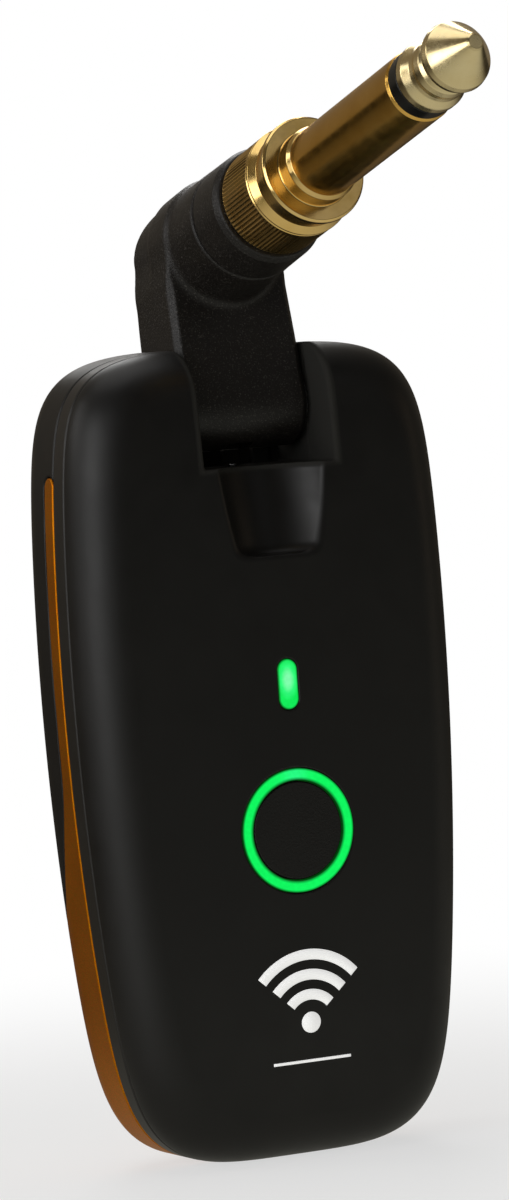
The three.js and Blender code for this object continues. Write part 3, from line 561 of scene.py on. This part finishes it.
def turned(name, points, look, replaces, body="plug_arm", place=along_plug,
           columns=128, relief=None, arc_steps=5, spacing=None):
    """Revolve (radius, station[, corner radius]) points.

    A profile that starts on the axis also ends there; any other is closed on its first point.
    """
    closed = points[0][0] > 0
    profile = fillet([*points, points[0][:2]] if closed else points, arc_steps)
    if spacing:
        profile = subdivide(profile, spacing)
    profile = np.array(profile, float)
    angles = (np.arange(columns) * 2 * math.pi / columns)[None, :]
    radius = np.repeat(profile[:, 0:1], columns, axis=1)
    station = np.repeat(profile[:, 1:2], columns, axis=1)
    if relief:
        radius = radius + relief(angles, station, radius)
    grid = place(radius * np.cos(angles), station, radius * np.sin(angles))
    grid_normals = area_normals(grid)
    if closed:
        seam = grid_normals[0] + grid_normals[-1]
        grid_normals[0] = seam / np.linalg.norm(seam, axis=1)[:, None]
        kept = slice(None, -1)
    else:
        kept = slice(1, -1)
    verts = grid[kept].reshape(-1, 3)
    normals = grid_normals[kept].reshape(-1, 3)
    rows = len(grid[kept])
    faces = []
    for i in range(rows if closed else rows - 1):
        row, following = i * columns, (i + 1) % rows * columns
        for k in range(columns):
            beside = (k + 1) % columns
            faces.append([row + k, row + beside, following + beside, following + k])
    if not closed:
        # a fan of triangles at each end
        for end, ring, row in ((0, 1, 0), (-1, -2, (rows - 1) * columns)):
            centre = grid[end].mean(0)
            normal = np.cross(grid[ring, 1] - centre, grid[ring, 2] - centre)
            normal = normal / max(np.linalg.norm(normal), 1e-12)
            if normal @ grid_normals[ring].mean(0) < 0:
                normal = -normal
            tip = len(verts)
            verts, normals = np.vstack([verts, centre]), np.vstack([normals, normal])
            for k in range(columns):
                pair = [row + k, row + (k + 1) % columns]
                faces.append([tip] + (pair[::-1] if end == 0 else pair))
    faces = facing_out(verts, faces)
    owners, (first, second, third) = triangle_corners(verts, faces)
    if (normals[owners] * np.cross(second - first, third - first)).sum() < 0:
        normals = -normals
    make(name, verts, faces, normals, look, replaces, body)


# ---------------------------------------------------------------- shader building
class Nodes:
    """A cleared node tree and its output; every method but node and wire gives a socket"""

    def __init__(self, owner, output):
        owner.use_nodes = True
        self.owner = owner
        self.tree = owner.node_tree
        self.tree.nodes.clear()
        self.out = self.node(output)

    def wire(self, node, inputs):
        for key, value in inputs.items():
            if isinstance(value, bpy.types.NodeSocket):
                self.tree.links.new(value, node.inputs[key])
            else:
                node.inputs[key].default_value = value

    def node(self, kind, inputs=None, **settings):
        node = self.tree.nodes.new("ShaderNode" + kind)
        for key, value in settings.items():
            setattr(node, key, value)
        self.wire(node, inputs or {})
        return node

    def add(self, kind, inputs=None, output=0, **settings):
        return self.node(kind, inputs, **settings).outputs[output]

    def ramp(self, factor, stops):
        node = self.node("ValToRGB", {0: factor})
        elements = node.color_ramp.elements
        while len(elements) < len(stops):
            elements.new(0.5)
        for element, (position, colour) in zip(elements, stops):
            element.position = position
            element.color = (*colour, 1)
        return node.outputs[0]

    def remap(self, value, source, target=(0, 1), **settings):
        return self.add("MapRange", {"Value": value, "From Min": source[0], "From Max": source[1],
                                     "To Min": target[0], "To Max": target[1]}, **settings)

    def multiply(self, first, second):
        return self.add("Math", {0: first, 1: second}, operation="MULTIPLY")

    def absolute(self, value):
        return self.add("Math", {0: value}, operation="ABSOLUTE")

    def mix(self, factor, first, second, kind="MixRGB", **settings):
        return self.add(kind, {0: factor, 1: first, 2: second}, **settings)

    def length(self, vector):
        return self.add("VectorMath", {0: vector}, output="Value", operation="LENGTH")

    def separate(self, vector):
        return self.node("SeparateXYZ", {0: vector}).outputs


class Look(Nodes):
    """A material: a Principled shader with textures on object coordinates, in metres"""

    def __init__(self, name):
        super().__init__(bpy.data.materials.new(name), "OutputMaterial")
        self.principled = self.node("BsdfPrincipled")
        self.wire(self.out, {0: self.principled.outputs[0]})
        self.coords = self.add("TexCoord", output="Object")

    def shade(self, inputs):
        self.wire(self.principled, inputs)

    def noise(self, scale, detail=3, rough=0.5, stretch=None):
        vector = self.coords
        if stretch is not None:
            vector = self.add("Mapping", {0: vector, "Scale": stretch})
        return self.add("TexNoise", {"Vector": vector, "Scale": scale, "Detail": detail,
                                     "Roughness": rough}, output="Fac")

    def bump(self, height, strength, distance):
        self.shade({"Normal": self.add("Bump", {"Height": height, "Strength": strength,
                                                "Distance": distance})})

    def offset(self, centre):
        return self.add("VectorMath", {0: self.coords, 1: centre}, operation="SUBTRACT")

    def distance(self, centre, weights):
        """Distance from centre with each axis weighted"""
        return self.length(self.add("VectorMath", {0: self.offset(centre), 1: weights},
                                    operation="MULTIPLY"))


def plastic(name, dark, light, rough, grain=9000, depth=0.00001, strength=0.25, specular=0.5):
    """rough: range of roughness; grain, depth, strength: scale and height of the fine bump"""
    look = Look(name)
    look.shade({"Base Color": look.ramp(look.noise(90), [(0.3, dark), (0.7, light)]),
                "Roughness": look.remap(look.noise(260, detail=4, rough=0.6), (0.3, 0.7), rough),
                "Specular IOR Level": specular})
    look.bump(look.noise(grain, detail=2), strength=strength, distance=depth)
    return look


def metal(name, dark, light, rough, scratch, scale, brush=None):
    """scratch, scale: height and scale of the fine bump; brush: its stretch along x, y, z"""
    look = Look(name)
    tone = look.noise(200, detail=4, rough=0.6)
    spots = look.noise(900, detail=5, rough=0.65)
    look.shade({"Base Color": look.ramp(tone, [(0.3, dark), (0.7, light)]),
                "Metallic": 1,
                "Roughness": look.remap(spots, (0.35, 0.7), rough)})
    look.bump(look.noise(scale, rough=0.6, stretch=brush), strength=scratch, distance=0.00001)
    return look


def speckle(look, scale, fade, colour):
    """Scatter colour where a fine noise passes through the fade range"""
    under = look.principled.inputs["Base Color"].links[0].from_socket
    amount = look.remap(look.noise(scale, detail=2, rough=0.6), fade)
    look.shade({"Base Color": look.mix(amount, under, (*colour, 1))})


def box_mask(look, half_width, y_range, z_range, soft):
    """1 inside the box, fading to 0 over soft metres"""
    place = look.separate(look.coords)
    mask = look.remap(look.absolute(place["X"]), (half_width, half_width + soft), (1, 0))
    for axis, (low, high) in (("Y", y_range), ("Z", z_range)):
        mask = look.multiply(mask, look.remap(place[axis], (low - soft, low)))
        mask = look.multiply(mask, look.remap(place[axis], (high, high + soft), (1, 0)))
    return mask


def paint_light_in_box(look, shade, half_width, y_range, z_range, soft):
    """Painted light: a paler, greyer and duller moulding inside a box, for surfaces the lamps leave
    too dark
    """
    mask = box_mask(look, half_width, y_range, z_range, soft)
    painted_light_inputs = {"Base Color": shade, "Roughness": (0.8,) * 3, "Specular IOR Level": (0.0,) * 3}
    for name, value in painted_light_inputs.items():
        socket = look.principled.inputs[name]
        if socket.links:
            result = look.mix(mask, socket.links[0].from_socket, (*value, 1))
        else:
            result = look.remap(mask, (0, 1), (socket.default_value, value[0]))
        look.shade({name: result})


def bronze():
    look = Look("bronze_metallic_paint")
    flake = look.node("TexVoronoi", {"Scale": 16000, "Vector": look.coords}).outputs
    paint = look.ramp(look.noise(120), [(0.3, (0.66, 0.2, 0.003)), (0.7, (0.82, 0.265, 0.006))])
    look.shade({"Base Color": look.mix(0.35, paint, flake["Color"], blend_type="MULTIPLY"),
                "Metallic": 0.92,
                "Specular IOR Level": 0.2,
                "Roughness": look.remap(flake["Distance"], (0, 1), (0.32, 0.48))})
    look.bump(look.noise(9000, detail=2), strength=0.15, distance=0.00001)
    return look


def ring_fade(look):
    """1 along the middle of the ring, 0 at its two edges"""
    radius = look.distance((0, 0, BUTTON_Z * MM), weights=(1, 0, 1))
    return look.multiply(look.remap(radius, (0.00452, 0.00482)),
                         look.remap(radius, (0.00536, 0.00557), (1, 0)))


def lens_fade(look):
    """1 over the lens, 0 at its edge"""
    place = look.separate(look.offset((0, 0, LED_Z * MM)))
    straight = (LENS_HALF - LENS_RADIUS) * MM
    past_straight = look.remap(look.absolute(place["Z"]), (straight, straight + 0.002), (0, 0.002))
    radius = look.length(look.add("CombineXYZ", {0: place["X"], 2: past_straight}))
    return look.remap(radius, (0.0008, 0.00099), (1, 0))


def lit(name, centre, weights, spread, stops, fade):
    """Glowing light guide, dimmed in mirror reflections.

    The stops run from the hot spot at centre outwards over the spread range of distances.
    """
    look = Look(name)
    hot = look.remap(look.distance(centre, weights), spread)
    wobble = look.remap(look.noise(330, detail=2), (0.3, 0.7), (-0.06, 0.06))
    glow = look.ramp(look.add("Math", {0: hot, 1: wobble}), stops)
    fine = look.noise(2500)
    flicker = look.remap(fine, (0.3, 0.7), (0.93, 1.05))
    dim = look.remap(look.add("LightPath", output="Is Glossy Ray"), (0, 1), (1, 0.08))
    look.shade({"Base Color": (0.0, 0.03, 0.004, 1),
                "Specular IOR Level": 0.15,
                "Emission Color": look.mix(look.remap(fade(look), (0, 1)),
                                           (0.0, 0.045, 0.003, 1), glow),
                "Emission Strength": look.multiply(flicker, dim),
                "Roughness": look.remap(fine, (0.3, 0.7), (0.32, 0.42))})
    look.bump(fine, strength=0.1, distance=0.00002)
    return look


def board():
    look = Look("board_solder_mask")
    brick = look.node("TexBrick", {
        "Vector": look.coords, "Scale": 420, "Color1": (0.012, 0.11, 0.035, 1),
        "Color2": (0.016, 0.13, 0.045, 1), "Mortar": (0.035, 0.2, 0.07, 1)}).outputs
    look.shade({"Base Color": brick[0],
                "Roughness": look.remap(look.noise(1500), (0.3, 0.7), (0.25, 0.4))})
    look.bump(brick["Fac"], strength=0.3, distance=0.00003)
    return look


LOOKS = {
    "front": plastic("satin_black_plastic", dark=(0.0052, 0.0046, 0.0042),
                     light=(0.0076, 0.0068, 0.0061), rough=(0.37, 0.47), grain=11000,
                     strength=0.5, specular=0.42),
    "mid": plastic("frame_black_plastic", dark=(0.014, 0.0125, 0.011),
                   light=(0.02, 0.018, 0.016), rough=(0.32, 0.44), grain=12000,
                   strength=0.4, specular=0.42),
    "arm": plastic("grained_black_plastic", dark=(0.0078, 0.0062, 0.0052),
                   light=(0.0118, 0.0094, 0.008), rough=(0.38, 0.5), grain=5200,
                   depth=0.00005, strength=0.75, specular=0.4),
    "button": plastic("button_black_plastic", dark=(0.0055, 0.0049, 0.0044),
                      light=(0.0085, 0.0077, 0.007), rough=(0.4, 0.52), grain=5500,
                      depth=0.00004, strength=0.6, specular=0.42),
    "insulator": plastic("insulator_black", dark=(0.004,) * 3, light=(0.008,) * 3,
                         rough=(0.2, 0.3), grain=6000, depth=0.000004, strength=0.2),
    # the three gold looks are one plating: the sleeve's copy is made deeper and browner as painted
    # shade, and the tip's paler as painted light
    "gold": metal("gold_plate", dark=(0.82, 0.46, 0.09), light=(0.95, 0.58, 0.15),
                  rough=(0.17, 0.27), brush=(1, 0.15, 1), scratch=0.06, scale=4000),
    "gold_knurl": metal("gold_knurl", dark=(0.86, 0.56, 0.17), light=(1.0, 0.7, 0.28),
                        rough=(0.13, 0.22), scratch=0.05, scale=3000),
    "gold_tip": metal("gold_tip", dark=(0.88, 0.7, 0.36), light=(1.0, 0.84, 0.5),
                      rough=(0.2, 0.3), scratch=0.05, scale=4000),
    "steel": metal("bright_steel", dark=(0.42, 0.43, 0.45), light=(0.6, 0.61, 0.63),
                   rough=(0.22, 0.34), brush=(6, 1, 1), scratch=0.15, scale=3000),
    "dark_steel": metal("dark_screw_steel", dark=(0.05, 0.05, 0.052), light=(0.09, 0.09, 0.093),
                        rough=(0.28, 0.42), scratch=0.2, scale=4000),
    "bushing": metal("sintered_bronze", dark=(0.4, 0.24, 0.09), light=(0.55, 0.35, 0.14),
                     rough=(0.3, 0.45), scratch=0.4, scale=6000),
    "bronze": bronze(),
    "lit_ring": lit("lit_ring_guide", centre=(0, -DEPTH * MM, -0.0020), weights=(1, 0, 1),
                    spread=(0.0004, 0.0026),
                    stops=[(0.0, (0.02, 0.98, 0.24)), (0.5, (0.006, 0.96, 0.14)),
                           (1.0, (0.003, 0.93, 0.115))], fade=ring_fade),
    "lit_lens": lit("lit_status_lens", centre=(0, -DEPTH * MM, 0.0066), weights=(1, 0, 0.55),
                    spread=(0.0002, 0.00105),
                    stops=[(0.0, (0.22, 0.99, 0.42)), (0.5, (0.03, 0.96, 0.2)),
                           (1.0, (0.002, 0.82, 0.09))], fade=lens_fade),
    "board": board(),
    "chip": plastic("chip_epoxy", dark=(0.01,) * 3, light=(0.018,) * 3, rough=(0.4, 0.55),
                    strength=0.3),
    "ceramic": plastic("white_ceramic", dark=(0.62, 0.6, 0.55), light=(0.75, 0.73, 0.68),
                       rough=(0.35, 0.5), grain=7000, strength=0.2),
    "foil": metal("battery_foil", dark=(0.45, 0.46, 0.48), light=(0.6, 0.61, 0.63),
                  rough=(0.25, 0.4), scratch=0.5, scale=700),
    "foam": plastic("black_foam", dark=(0.015,) * 3, light=(0.03,) * 3, rough=(0.85, 0.95),
                    grain=1800, depth=0.0001, strength=0.9),
    "red": plastic("red_insulation", dark=(0.35, 0.008, 0.008), light=(0.45, 0.012, 0.012),
                   rough=(0.35, 0.5), grain=5000, strength=0.2),
    "black_wire": plastic("black_insulation", dark=(0.01,) * 3, light=(0.016,) * 3,
                          rough=(0.35, 0.5), grain=5000, strength=0.2),
    "grey_wire": plastic("grey_insulation", dark=(0.28,) * 3, light=(0.36,) * 3,
                         rough=(0.35, 0.5), grain=5000, strength=0.2),
    "print": plastic("white_pad_print", dark=(0.78, 0.78, 0.77), light=(0.86, 0.86, 0.85),
                     rough=(0.4, 0.5), grain=8000, depth=0.000004, strength=0.3),
}
# painted light: the print glows faintly, so it stays pure white under the dim lamps
LOOKS["print"].shade({"Emission Color": (1, 1, 1, 1), "Emission Strength": 0.55})
speckle(LOOKS["arm"], scale=7000, fade=(0.57, 0.74), colour=(0.085, 0.078, 0.07))
speckle(LOOKS["front"], scale=9000, fade=(0.64, 0.85), colour=(0.02, 0.018, 0.016))
# painted light: the slot walls and floor, which the arm keeps in shade, are painted paler and
# greyer
for moulding in ("front", "mid"):
    paint_light_in_box(LOOKS[moulding], shade=(0.04, 0.039, 0.036), half_width=0.0069,
         y_range=(-0.0156, -0.003), z_range=(0.0257, 0.038), soft=0.0004)
# painted light: a paler strip along the front of the sill, where the ribs lie in the knuckle's
# shadow
paint_light_in_box(LOOKS["front"], shade=(0.17, 0.165, 0.15), half_width=0.0064,
     y_range=(-0.0053, -0.0049), z_range=(0.0254, 0.0275), soft=0.0001)

# look of each CAD material slot
SLOT_LOOKS = {
    "steel": "steel", "board_green": "board", "chip_black": "chip", "ceramic_white": "ceramic",
    "battery_foil": "foil", "foam": "foam", "wire_red": "red", "wire_black": "black_wire",
    "wire_grey": "grey_wire", "gold_plate": "gold", "bushing_bronze": "bushing",
    "screw_black": "dark_steel", "front_black": "front", "frame_black": "mid",
    "arm_black": "arm", "bronze_trim": "bronze", "green_light": "lit_ring",
    "insulator_black": "insulator"}
cad_slots = {part["node"]: part["material_slot"] for part in frame["record"]["subparts"]}
for node_name, part in frame["nodes"].items():
    part.data.materials.clear()
    part.data.materials.append(LOOKS[SLOT_LOOKS[cad_slots[node_name]]].owner)

# ---------------------------------------------------------------- case pieces
# x, y and z are grid spans: (start, step), ..., (end, None)
field_piece("front_cover_shell", front_cover,
            x=[(-19.2, 0.3), (-14.2, 0.3), (-7.6, 0.13), (-5.0, 0.16), (5.0, 0.13), (7.6, 0.3),
               (14.2, 0.3), (19.2, None)],
            y=[(-16.5, 0.12), (-14.2, 0.25), (-11.3, 0.1), (-10.4, 0.25), (-9.3, None)],
            z=[(-37.2, 0.3), (-13.6, 0.14), (-0.6, 0.3), (3.2, 0.13), (9.2, 0.3), (16.4, 0.14),
               (27.0, 0.18), (37.2, None)],
            look="front", replaces="front_cover")
field_piece("mid_frame_band", mid_frame,
            x=[(-19.2, 0.2), (-10.0, 0.3), (-6.9, 0.1), (-6.2, 0.17), (6.2, 0.1), (6.9, 0.3),
               (10.0, 0.2), (19.2, None)],
            y=[(-10.8, 0.09), (-8.0, 0.25), (-4.8, 0.1), (-4.0, 0.25), (-1.6, None)],
            z=[(-37.2, 0.25), (23.6, 0.12), (27.8, 0.22), (37.2, None)],
            look="mid", replaces="mid_frame")
field_piece("rear_cover_shell", rear_cover,
            x=[(-19.2, 0.28), (-7.0, 0.14), (-6.0, 0.3), (6.0, 0.14), (7.0, 0.28), (19.2, None)],
            y=[(-9.6, 0.14), (-6.6, 0.22), (-2.7, 0.15), (0.4, None)],
            z=[(-37.2, 0.25), (-12.0, 0.3), (25.0, 0.16), (28.2, 0.22), (37.2, None)],
            look="front", replaces="rear_cover")
field_piece("side_trim_inlay", side_trim,
            x=[(-19.2, 0.1), (-17.0, 0.25), (17.0, 0.1), (19.2, None)],
            y=[(-8.6, 0.09), (-6.8, 0.16), (0.4, None)],
            z=[(-37.2, 0.2), (24.6, 0.08), (26.5, None)],
            look="bronze", replaces="side_trim")

# ---------------------------------------------------------------- arm pieces
field_piece("arm_elbow", arm_body,
            x=[(-6.6, 0.14), (6.6, None)], y=[(-11.0, 0.14), (4.4, None)],
            z=[(-4.3, 0.14), (20.1, None)],
            look="arm", replaces="arm_body", body="plug_arm")
field_piece("arm_back_panel", arm_back_cover,
            x=[(-4.2, 0.14), (4.2, None)], y=[(1.0, 0.12), (4.4, None)],
            z=[(4.6, 0.14), (12.2, None)],
            look="arm", replaces="arm_back_cover", body="plug_arm")

# ---------------------------------------------------------------- plug
# profiles are (radius, station[, corner radius])
turned("barrel_lock_ring",
       [(3.72, -13.9), (5.34, -13.9, 0.18), (5.47, -13.6, 0.1), (5.4, -9.7, 0.3),
        (5.1, -8.98, 0.3), (3.72, -8.9)],
       look="arm", replaces="barrel_ring", columns=160, spacing=0.35)

TEETH = 84
COLUMNS_PER_TOOTH = 8


def knurl(angles, station, radius):
    """Teeth on the outer wall of the collar, fading out at both ends"""
    fade_in = smooth_step(station, -8.5, -8.2)
    on_teeth = fade_in * (1 - smooth_step(station, -3.75, -3.55)) * (radius > 4.5)
    return on_teeth * (0.065 * np.cos(angles * TEETH) - 0.06)


turned("knurled_collar_skin",
       [(3.0, -13.3), (3.66, -13.3, 0.1), (3.66, -8.65), (4.78, -8.65, 0.12), (5.0, -8.4, 0.1),
        (5.0, -3.5, 0.06), (4.87, -3.35, 0.05), (5.03, -3.24, 0.1), (5.02, -3.08, 0.14),
        (4.5, -2.36, 0.16), (4.52, -0.95, 0.2), (4.89, -0.66, 0.12), (4.89, -0.22, 0.2),
        (4.7, 0.0, 0.1), (3.44, 0.0, 0.12), (3.44, 1.55, 0.3), (3.2, 2.0, 0.1), (3.0, 2.0)],
       look="gold_knurl", replaces="knurled_collar",
       columns=TEETH * COLUMNS_PER_TOOTH, relief=knurl, spacing=0.4)
turned("plug_sleeve_skin",
       [(2.2, -12.7), (2.93, -12.7), (2.93, 2.05), (PLUG_RADIUS, 2.05, 0.05),
        (PLUG_RADIUS, 20.62, 0.12), (3.02, 20.9, 0.08), (2.2, 20.9)],
       look="gold", replaces="plug_sleeve", columns=160, spacing=0.8)
turned("tip_insulator_skin",
       [(1.28, -13.9), (2.12, -13.9), (2.12, 20.95), (3.06, 20.95, 0.06), (3.06, 22.3, 0.06),
        (1.28, 22.3)],
       look="insulator", replaces="tip_insulator", spacing=0.8)
turned("plug_tip_skin",
       [(0.0, -16.2), (1.2, -16.2, 0.1), (1.2, 22.36), (3.02, 22.36, 0.06), (3.12, 22.55, 0.15),
        (3.11, 23.25, 0.55), (2.7, 24.05, 0.5), (2.62, 24.5, 0.4), (2.72, 25.0, 0.3),
        (2.6, 25.65, 0.25), (2.3, 25.95, 0.1), (2.3, 26.2, 0.12), (3.0, 26.9, 0.3),
        (3.1, 27.35, 0.25), (3.0, 27.9, 0.3), (0.8, 30.92, 0.12), (0.62, 31.08, 0.08),
        (0.0, 31.08)],
       look="gold_tip", replaces="plug_tip", columns=144, arc_steps=7,
       spacing=0.25)

# ---------------------------------------------------------------- lights and button in the face
turned("ring_light_guide_skin",
       [(4.49, -15.97), (4.49, -15.98, 0.02), (5.58, -15.98, 0.05), (5.58, -14.15),
        (6.6, -14.15, 0.05), (6.6, -13.55, 0.05), (4.49, -13.55)],
       look="lit_ring", replaces="ring_light_guide", body="case",
       place=along_button, columns=160)
turned("power_button_skin",
       [(0, -15.93), (2.2, -15.93), (4.3, -15.95, 0.1), (4.42, -15.8, 0.08), (4.42, -13.48),
        (4.95, -13.48, 0.05), (4.95, -12.95, 0.05), (1.2, -12.95), (1.2, -12.35, 0.05),
        (0, -12.35)],
       look="button", replaces="power_button_cap", body="power_button",
       place=along_button, columns=144)
field_piece("status_lens_skin", status_lens,
            x=[(-2.1, 0.1), (2.1, None)], y=[(-16.2, 0.1), (-13.4, None)],
            z=[(2.9, 0.1), (9.5, None)],
            look="lit_lens", replaces="status_lens")

# ---------------------------------------------------------------- screws and socket
screw_points, screw_faces, screw_normals = field_mesh(
    case_screw, x=[(-1.9, 0.1), (1.9, None)],
    y=[(-12.3, 0.3), (-2.5, 0.09), (-1.2, None)], z=[(-1.9, 0.1), (1.9, None)])
for number, (screw_x, screw_z) in enumerate(SCREWS, 1):
    make(f"case_screw_{number}_skin", screw_points + np.array([screw_x, 0, screw_z]),
         screw_faces, screw_normals, look="dark_steel",
         replaces=f"case_screw_{number}")
field_piece("usb_socket_skin", usb_socket,
            x=[(-4.8, 0.12), (4.8, None)], y=[(-9.4, 0.12), (-4.2, None)],
            z=[(-36.3, 0.14), (-28.4, None)],
            look="steel", replaces="usb_socket_shell")

# ---------------------------------------------------------------- printed mark on the front face
MARK_Z, BAR_Z = -24.4, -27.6
ARC_RADII = (2.2, 4.0, 5.8)
STROKE = 0.95               # width of the arcs and radius of the dot
PRINT_PROUD, PRINT_SUNK = 0.035, 0.06


def ribbon(name, first_edge, second_edge):
    """Thin strip between two matching rows of (x, z) points, laid on the front face"""
    layers = []
    for lift in (PRINT_PROUD, -PRINT_SUNK):
        for x, z in (first_edge, second_edge):
            layers.append(np.stack([x, -DEPTH + face_fall(inset(x, z)) - lift, z], 1))
    points = np.concatenate(layers)
    count = len(first_edge[0])
    top_a, top_b, low_a, low_b = (count * k for k in range(4))
    faces = []
    for i in range(count - 1):
        for start, end in ((top_a, top_b), (low_b, low_a), (low_a, top_a), (top_b, low_b)):
            # start each quad on the same corner in all four strips
            quad = [start + i, start + i + 1, end + i + 1, end + i]
            if start in (low_a, low_b):
                quad = [quad[3], quad[0], quad[1], quad[2]]
            faces.append(quad)
    last = count - 1
    faces.append([top_a, top_b, low_b, low_a])
    faces.append([top_a + last, low_a + last, low_b + last, top_b + last])
    make(name, points, facing_out(points, faces), None, look="print")


turn = np.radians(np.linspace(42, 138, 40))
for number, radius in enumerate(ARC_RADII, 1):
    outer, inner = [(size * np.cos(turn), MARK_Z + size * np.sin(turn))
                    for size in (radius + STROKE, radius)]
    ribbon(f"printed_arc_{number}", outer, inner)
turn = np.radians(np.linspace(0, 180, 24))
upper, lower = [(STROKE * np.cos(turn), MARK_Z + 0.15 + side * STROKE * np.sin(turn))
                for side in (1, -1)]
ribbon("printed_dot", upper, lower)
bar_x = np.linspace(-3.9, 3.9, 24)
ribbon("printed_bar", (bar_x, np.full(24, BAR_Z)), (bar_x, np.full(24, BAR_Z - 0.25)))

# ---------------------------------------------------------------- studio, in metres
FLOOR_HALF, FLOOR_Z = 3.0, -36.76 * MM


def floor_look():
    """Pale floor that turns white away from the case; other rays see a soft bounce"""
    look = Look("pale_floor")
    look.shade({"Base Color": look.ramp(look.noise(40, detail=2),
                                        [(0.3, (0.86,) * 3), (0.7, (0.88,) * 3)]),
                "Roughness": 0.9,
                "Specular IOR Level": 0.1})
    reach = look.length(look.coords)
    to_camera = look.add("LightPath", output="Is Camera Ray")
    white_share = look.remap(reach, (0.03, 0.16), (0.62, 1.0), interpolation_type="SMOOTHSTEP")
    white = look.add("Emission", {0: (1, 1, 1, 1), 1: 1.0})
    seen = look.mix(look.multiply(white_share, to_camera), look.principled.outputs[0], white,
                    kind="MixShader")
    # the bounce is bright in front of the case and warm and dark behind it
    behind = look.remap(look.separate(look.coords)["Y"], (-0.06, 0.06))
    tone = look.ramp(behind, [(0.0, (0.45, 0.45, 0.4)), (1.0, (0.1, 0.086, 0.064))])
    near = look.remap(reach, (0.1, 0.45), (1.0, 0.25))
    bounce = look.add("Emission", {0: tone, 1: near})
    look.wire(look.out, {0: look.mix(to_camera, bounce, seen, kind="MixShader")})
    return look


def build_floor():
    mesh = bpy.data.meshes.new("studio_floor")
    corners = [(x * FLOOR_HALF, y * FLOOR_HALF, FLOOR_Z)
               for x, y in ((-1, -1), (1, -1), (1, 1), (-1, 1))]
    mesh.from_pydata(corners, [], [(0, 1, 2, 3)])
    floor = bpy.data.objects.new("studio_floor", mesh)
    bpy.context.scene.collection.objects.link(floor)
    mesh.materials.append(floor_look().owner)


def build_world():
    """White to the camera, dim and warmer to the rear for everything else"""
    world = bpy.data.worlds.new("studio")
    bpy.context.scene.world = world
    sky = Nodes(world, "OutputWorld")
    direction = sky.separate(sky.add("TexCoord", output="Generated"))
    rearward = sky.remap(direction["Y"], (-0.3, 0.5))
    tone = sky.ramp(rearward, [(0.0, (0.045, 0.045, 0.043)), (1.0, (0.17, 0.145, 0.11))])
    ambient = sky.add("Background", {0: tone, 1: 1.0})
    white = sky.add("Background", {0: (1, 1, 1, 1), 1: 1.0})
    to_camera = sky.add("LightPath", output="Is Camera Ray")
    sky.wire(sky.out, {0: sky.mix(to_camera, ambient, white, kind="MixShader")})


def area(name, place, size, energy, target=(0, 0, 0), colour=(1, 1, 1), size_y=None):
    light = bpy.data.lights.new(name, "AREA")
    light.energy = energy
    light.color = colour
    light.size = size
    if size_y:
        light.shape = "RECTANGLE"
        light.size_y = size_y
    lamp = bpy.data.objects.new(name, light)
    bpy.context.scene.collection.objects.link(lamp)
    lamp.location = place
    lamp.rotation_euler = (Vector(target) - Vector(place)).to_track_quat("-Z", "Y").to_euler()


def build_camera():
    camera = bpy.data.cameras.new("camera")
    camera.sensor_width = 36
    camera.lens = 160.893
    camera.clip_start = 0.01
    holder = bpy.data.objects.new("camera", camera)
    bpy.context.scene.collection.objects.link(holder)
    place = (-0.218573, -0.441748, 0.036462)
    right = np.array([0.8883, -0.4539, -0.0698])
    right /= np.linalg.norm(right)
    forward = np.array([0.45156, 0.8910, -0.04705])
    forward -= right * (forward @ right)
    forward /= np.linalg.norm(forward)
    axes = np.column_stack([right, np.cross(right, forward), -forward, place])
    holder.matrix_world = Matrix([*axes.tolist(), [0, 0, 0, 1]])
    bpy.context.scene.camera = holder


build_floor()
build_world()
area("key_left", place=(-0.78, -0.33, -0.06), size=0.5, size_y=1.1, energy=4.6)
area("key_near", place=(-0.55, -0.66, 0.02), size=0.34, size_y=0.9, energy=0.75)
area("side_soft", place=(-0.88, 0.12, -0.14), size=0.34, size_y=0.9, energy=0.85)
area("rim_left", place=(-0.8, 0.35, 0.42), target=(0, 0, 0.02), size=0.3, size_y=0.4, energy=0.9)
area("top_soft", place=(-0.05, 0.1, 0.9), size=0.7, energy=1.7)
area("front_up", place=(0.45, -0.78, 0.46), target=(0, 0, 0.05), size=0.3, energy=0.075)
area("fill_right", place=(0.85, -0.3, 0.05), target=(0, 0, 0.02), size=0.2, size_y=0.5,
     energy=0.16, colour=(1.0, 0.75, 0.5))
area("back_soft", place=(0.35, 0.9, 0.75), size=0.5, energy=3.0)
build_camera()
view = bpy.context.scene.view_settings
view.view_transform = "Standard"
view.look = "None"
view.exposure = 0.0
